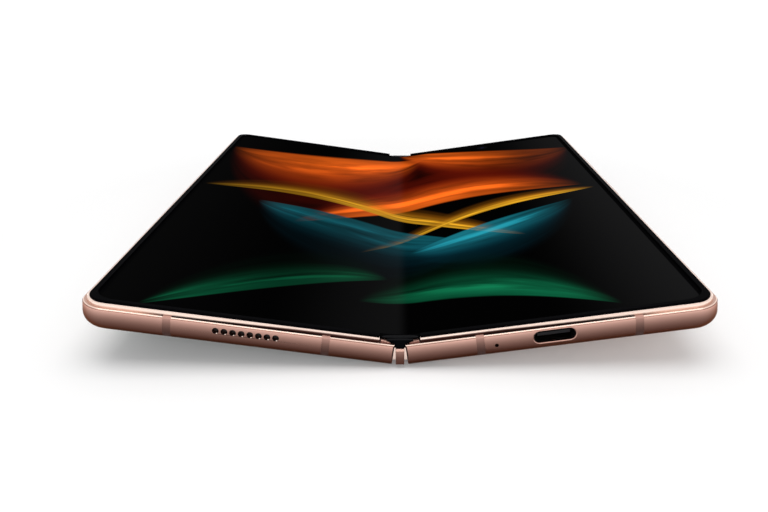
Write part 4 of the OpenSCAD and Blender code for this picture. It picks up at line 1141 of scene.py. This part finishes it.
# %% Floor
FLOOR_HALF = 6
NEAR_WHITE, SHADOW_END, WHITE_FROM = 0.14, 0.11, 0.42
bm = bmesh.new()
bmesh.ops.create_grid(bm, x_segments=1, y_segments=1, size=FLOOR_HALF)
floor_mesh = bpy.data.meshes.new("floor")
bm.to_mesh(floor_mesh)
bm.free()
floor = bpy.data.objects.new("floor", floor_mesh)
bpy.context.scene.collection.objects.link(floor)
pale = finish("pale_floor", Base_Color=(0.80, 0.80, 0.80, 1), Roughness=0.9,
              Specular_IOR_Level=0.1, Emission_Strength=1.0)
rays = pale.node("ShaderNodeLightPath")
seen = rays["Is Camera Ray"].most(rays["Is Glossy Ray"]).most(rays["Is Transmission Ray"])
away = pale.node("ShaderNodeVectorMath", {"operation": "LENGTH"}, {0: pale.place()})["Value"]
white = away.ease(SHADOW_END, WHITE_FROM) + NEAR_WHITE
pale.feed("Emission Color", pale.tint(WHITE[:3], white * seen))
floor_mesh.materials.append(pale.material)
print("floor of", 2 * FLOOR_HALF, "m, white from", WHITE_FROM, "m off")

# %% World
SKY_LIGHT, BACKDROP_LIGHT = 0.62, 1.0
world = bpy.data.worlds.new("studio")
bpy.context.scene.world = world
world.use_nodes = True
sky = world.node_tree
lighting = sky.nodes["Background"]
backdrop = sky.nodes.new("ShaderNodeBackground")
for shade, strength in ((lighting, SKY_LIGHT), (backdrop, BACKDROP_LIGHT)):
    shade.inputs["Color"].default_value = WHITE
    shade.inputs["Strength"].default_value = strength
light_path = sky.nodes.new("ShaderNodeLightPath")
either = light_path.outputs["Is Camera Ray"]
for kind in ("Is Glossy Ray", "Is Transmission Ray"):
    both = sky.nodes.new("ShaderNodeMath")
    both.operation = "MAXIMUM"
    sky.links.new(either, both.inputs[0])
    sky.links.new(light_path.outputs[kind], both.inputs[1])
    either = both.outputs[0]
swap = sky.nodes.new("ShaderNodeMixShader")
for socket, wire in enumerate((either, lighting.outputs[0], backdrop.outputs[0])):
    sky.links.new(wire, swap.inputs[socket])
sky.links.new(swap.outputs[0], sky.nodes["World Output"].inputs["Surface"])
print("sky lights with", SKY_LIGHT, "and shows as", BACKDROP_LIGHT)


# %% Soft boxes
def soft_box(name, place, aim, width, height, power):
    box = bpy.data.lights.new(name, "AREA")
    box.shape, box.size, box.size_y, box.energy = "RECTANGLE", width, height, power
    light = bpy.data.objects.new(name, box)
    light.location = place
    light.rotation_euler = (Vector(aim) - Vector(place)).to_track_quat("-Z", "Y").to_euler()
    bpy.context.scene.collection.objects.link(light)


NEAR_MIDDLE = (0, -0.05, 0)
soft_box("overhead", (0, -0.12, 0.75), NEAR_MIDDLE, 0.8, 0.6, 3.2)
soft_box("front", (0, -0.7, 0.35), NEAR_MIDDLE, 0.7, 0.25, 0.8)
print("soft boxes:", [light.name for light in bpy.data.lights])

# %% Camera
FRAME_W, FOLD_PX, FOCAL_PX = 768, 400, 753.96
PITCH = radians(21.03)
EYE = (0, -0.21305, lift + 0.06968)
camera_data = bpy.data.cameras.new("portrait")
camera_data.sensor_width = 36
camera_data.lens = camera_data.sensor_width * FOCAL_PX / FRAME_W
camera_data.shift_x = (FRAME_W / 2 - FOLD_PX) / FRAME_W
camera_data.clip_start = 0.005
camera = bpy.data.objects.new("portrait", camera_data)
camera.location = EYE
camera.rotation_euler = (pi / 2 - PITCH, 0, 0)
bpy.context.scene.collection.objects.link(camera)
bpy.context.scene.camera = camera
bpy.context.scene.view_settings.view_transform = "Standard"
print("lens", round(camera_data.lens, 2), "mm, looking down", round(degrees(PITCH), 2), "degrees")
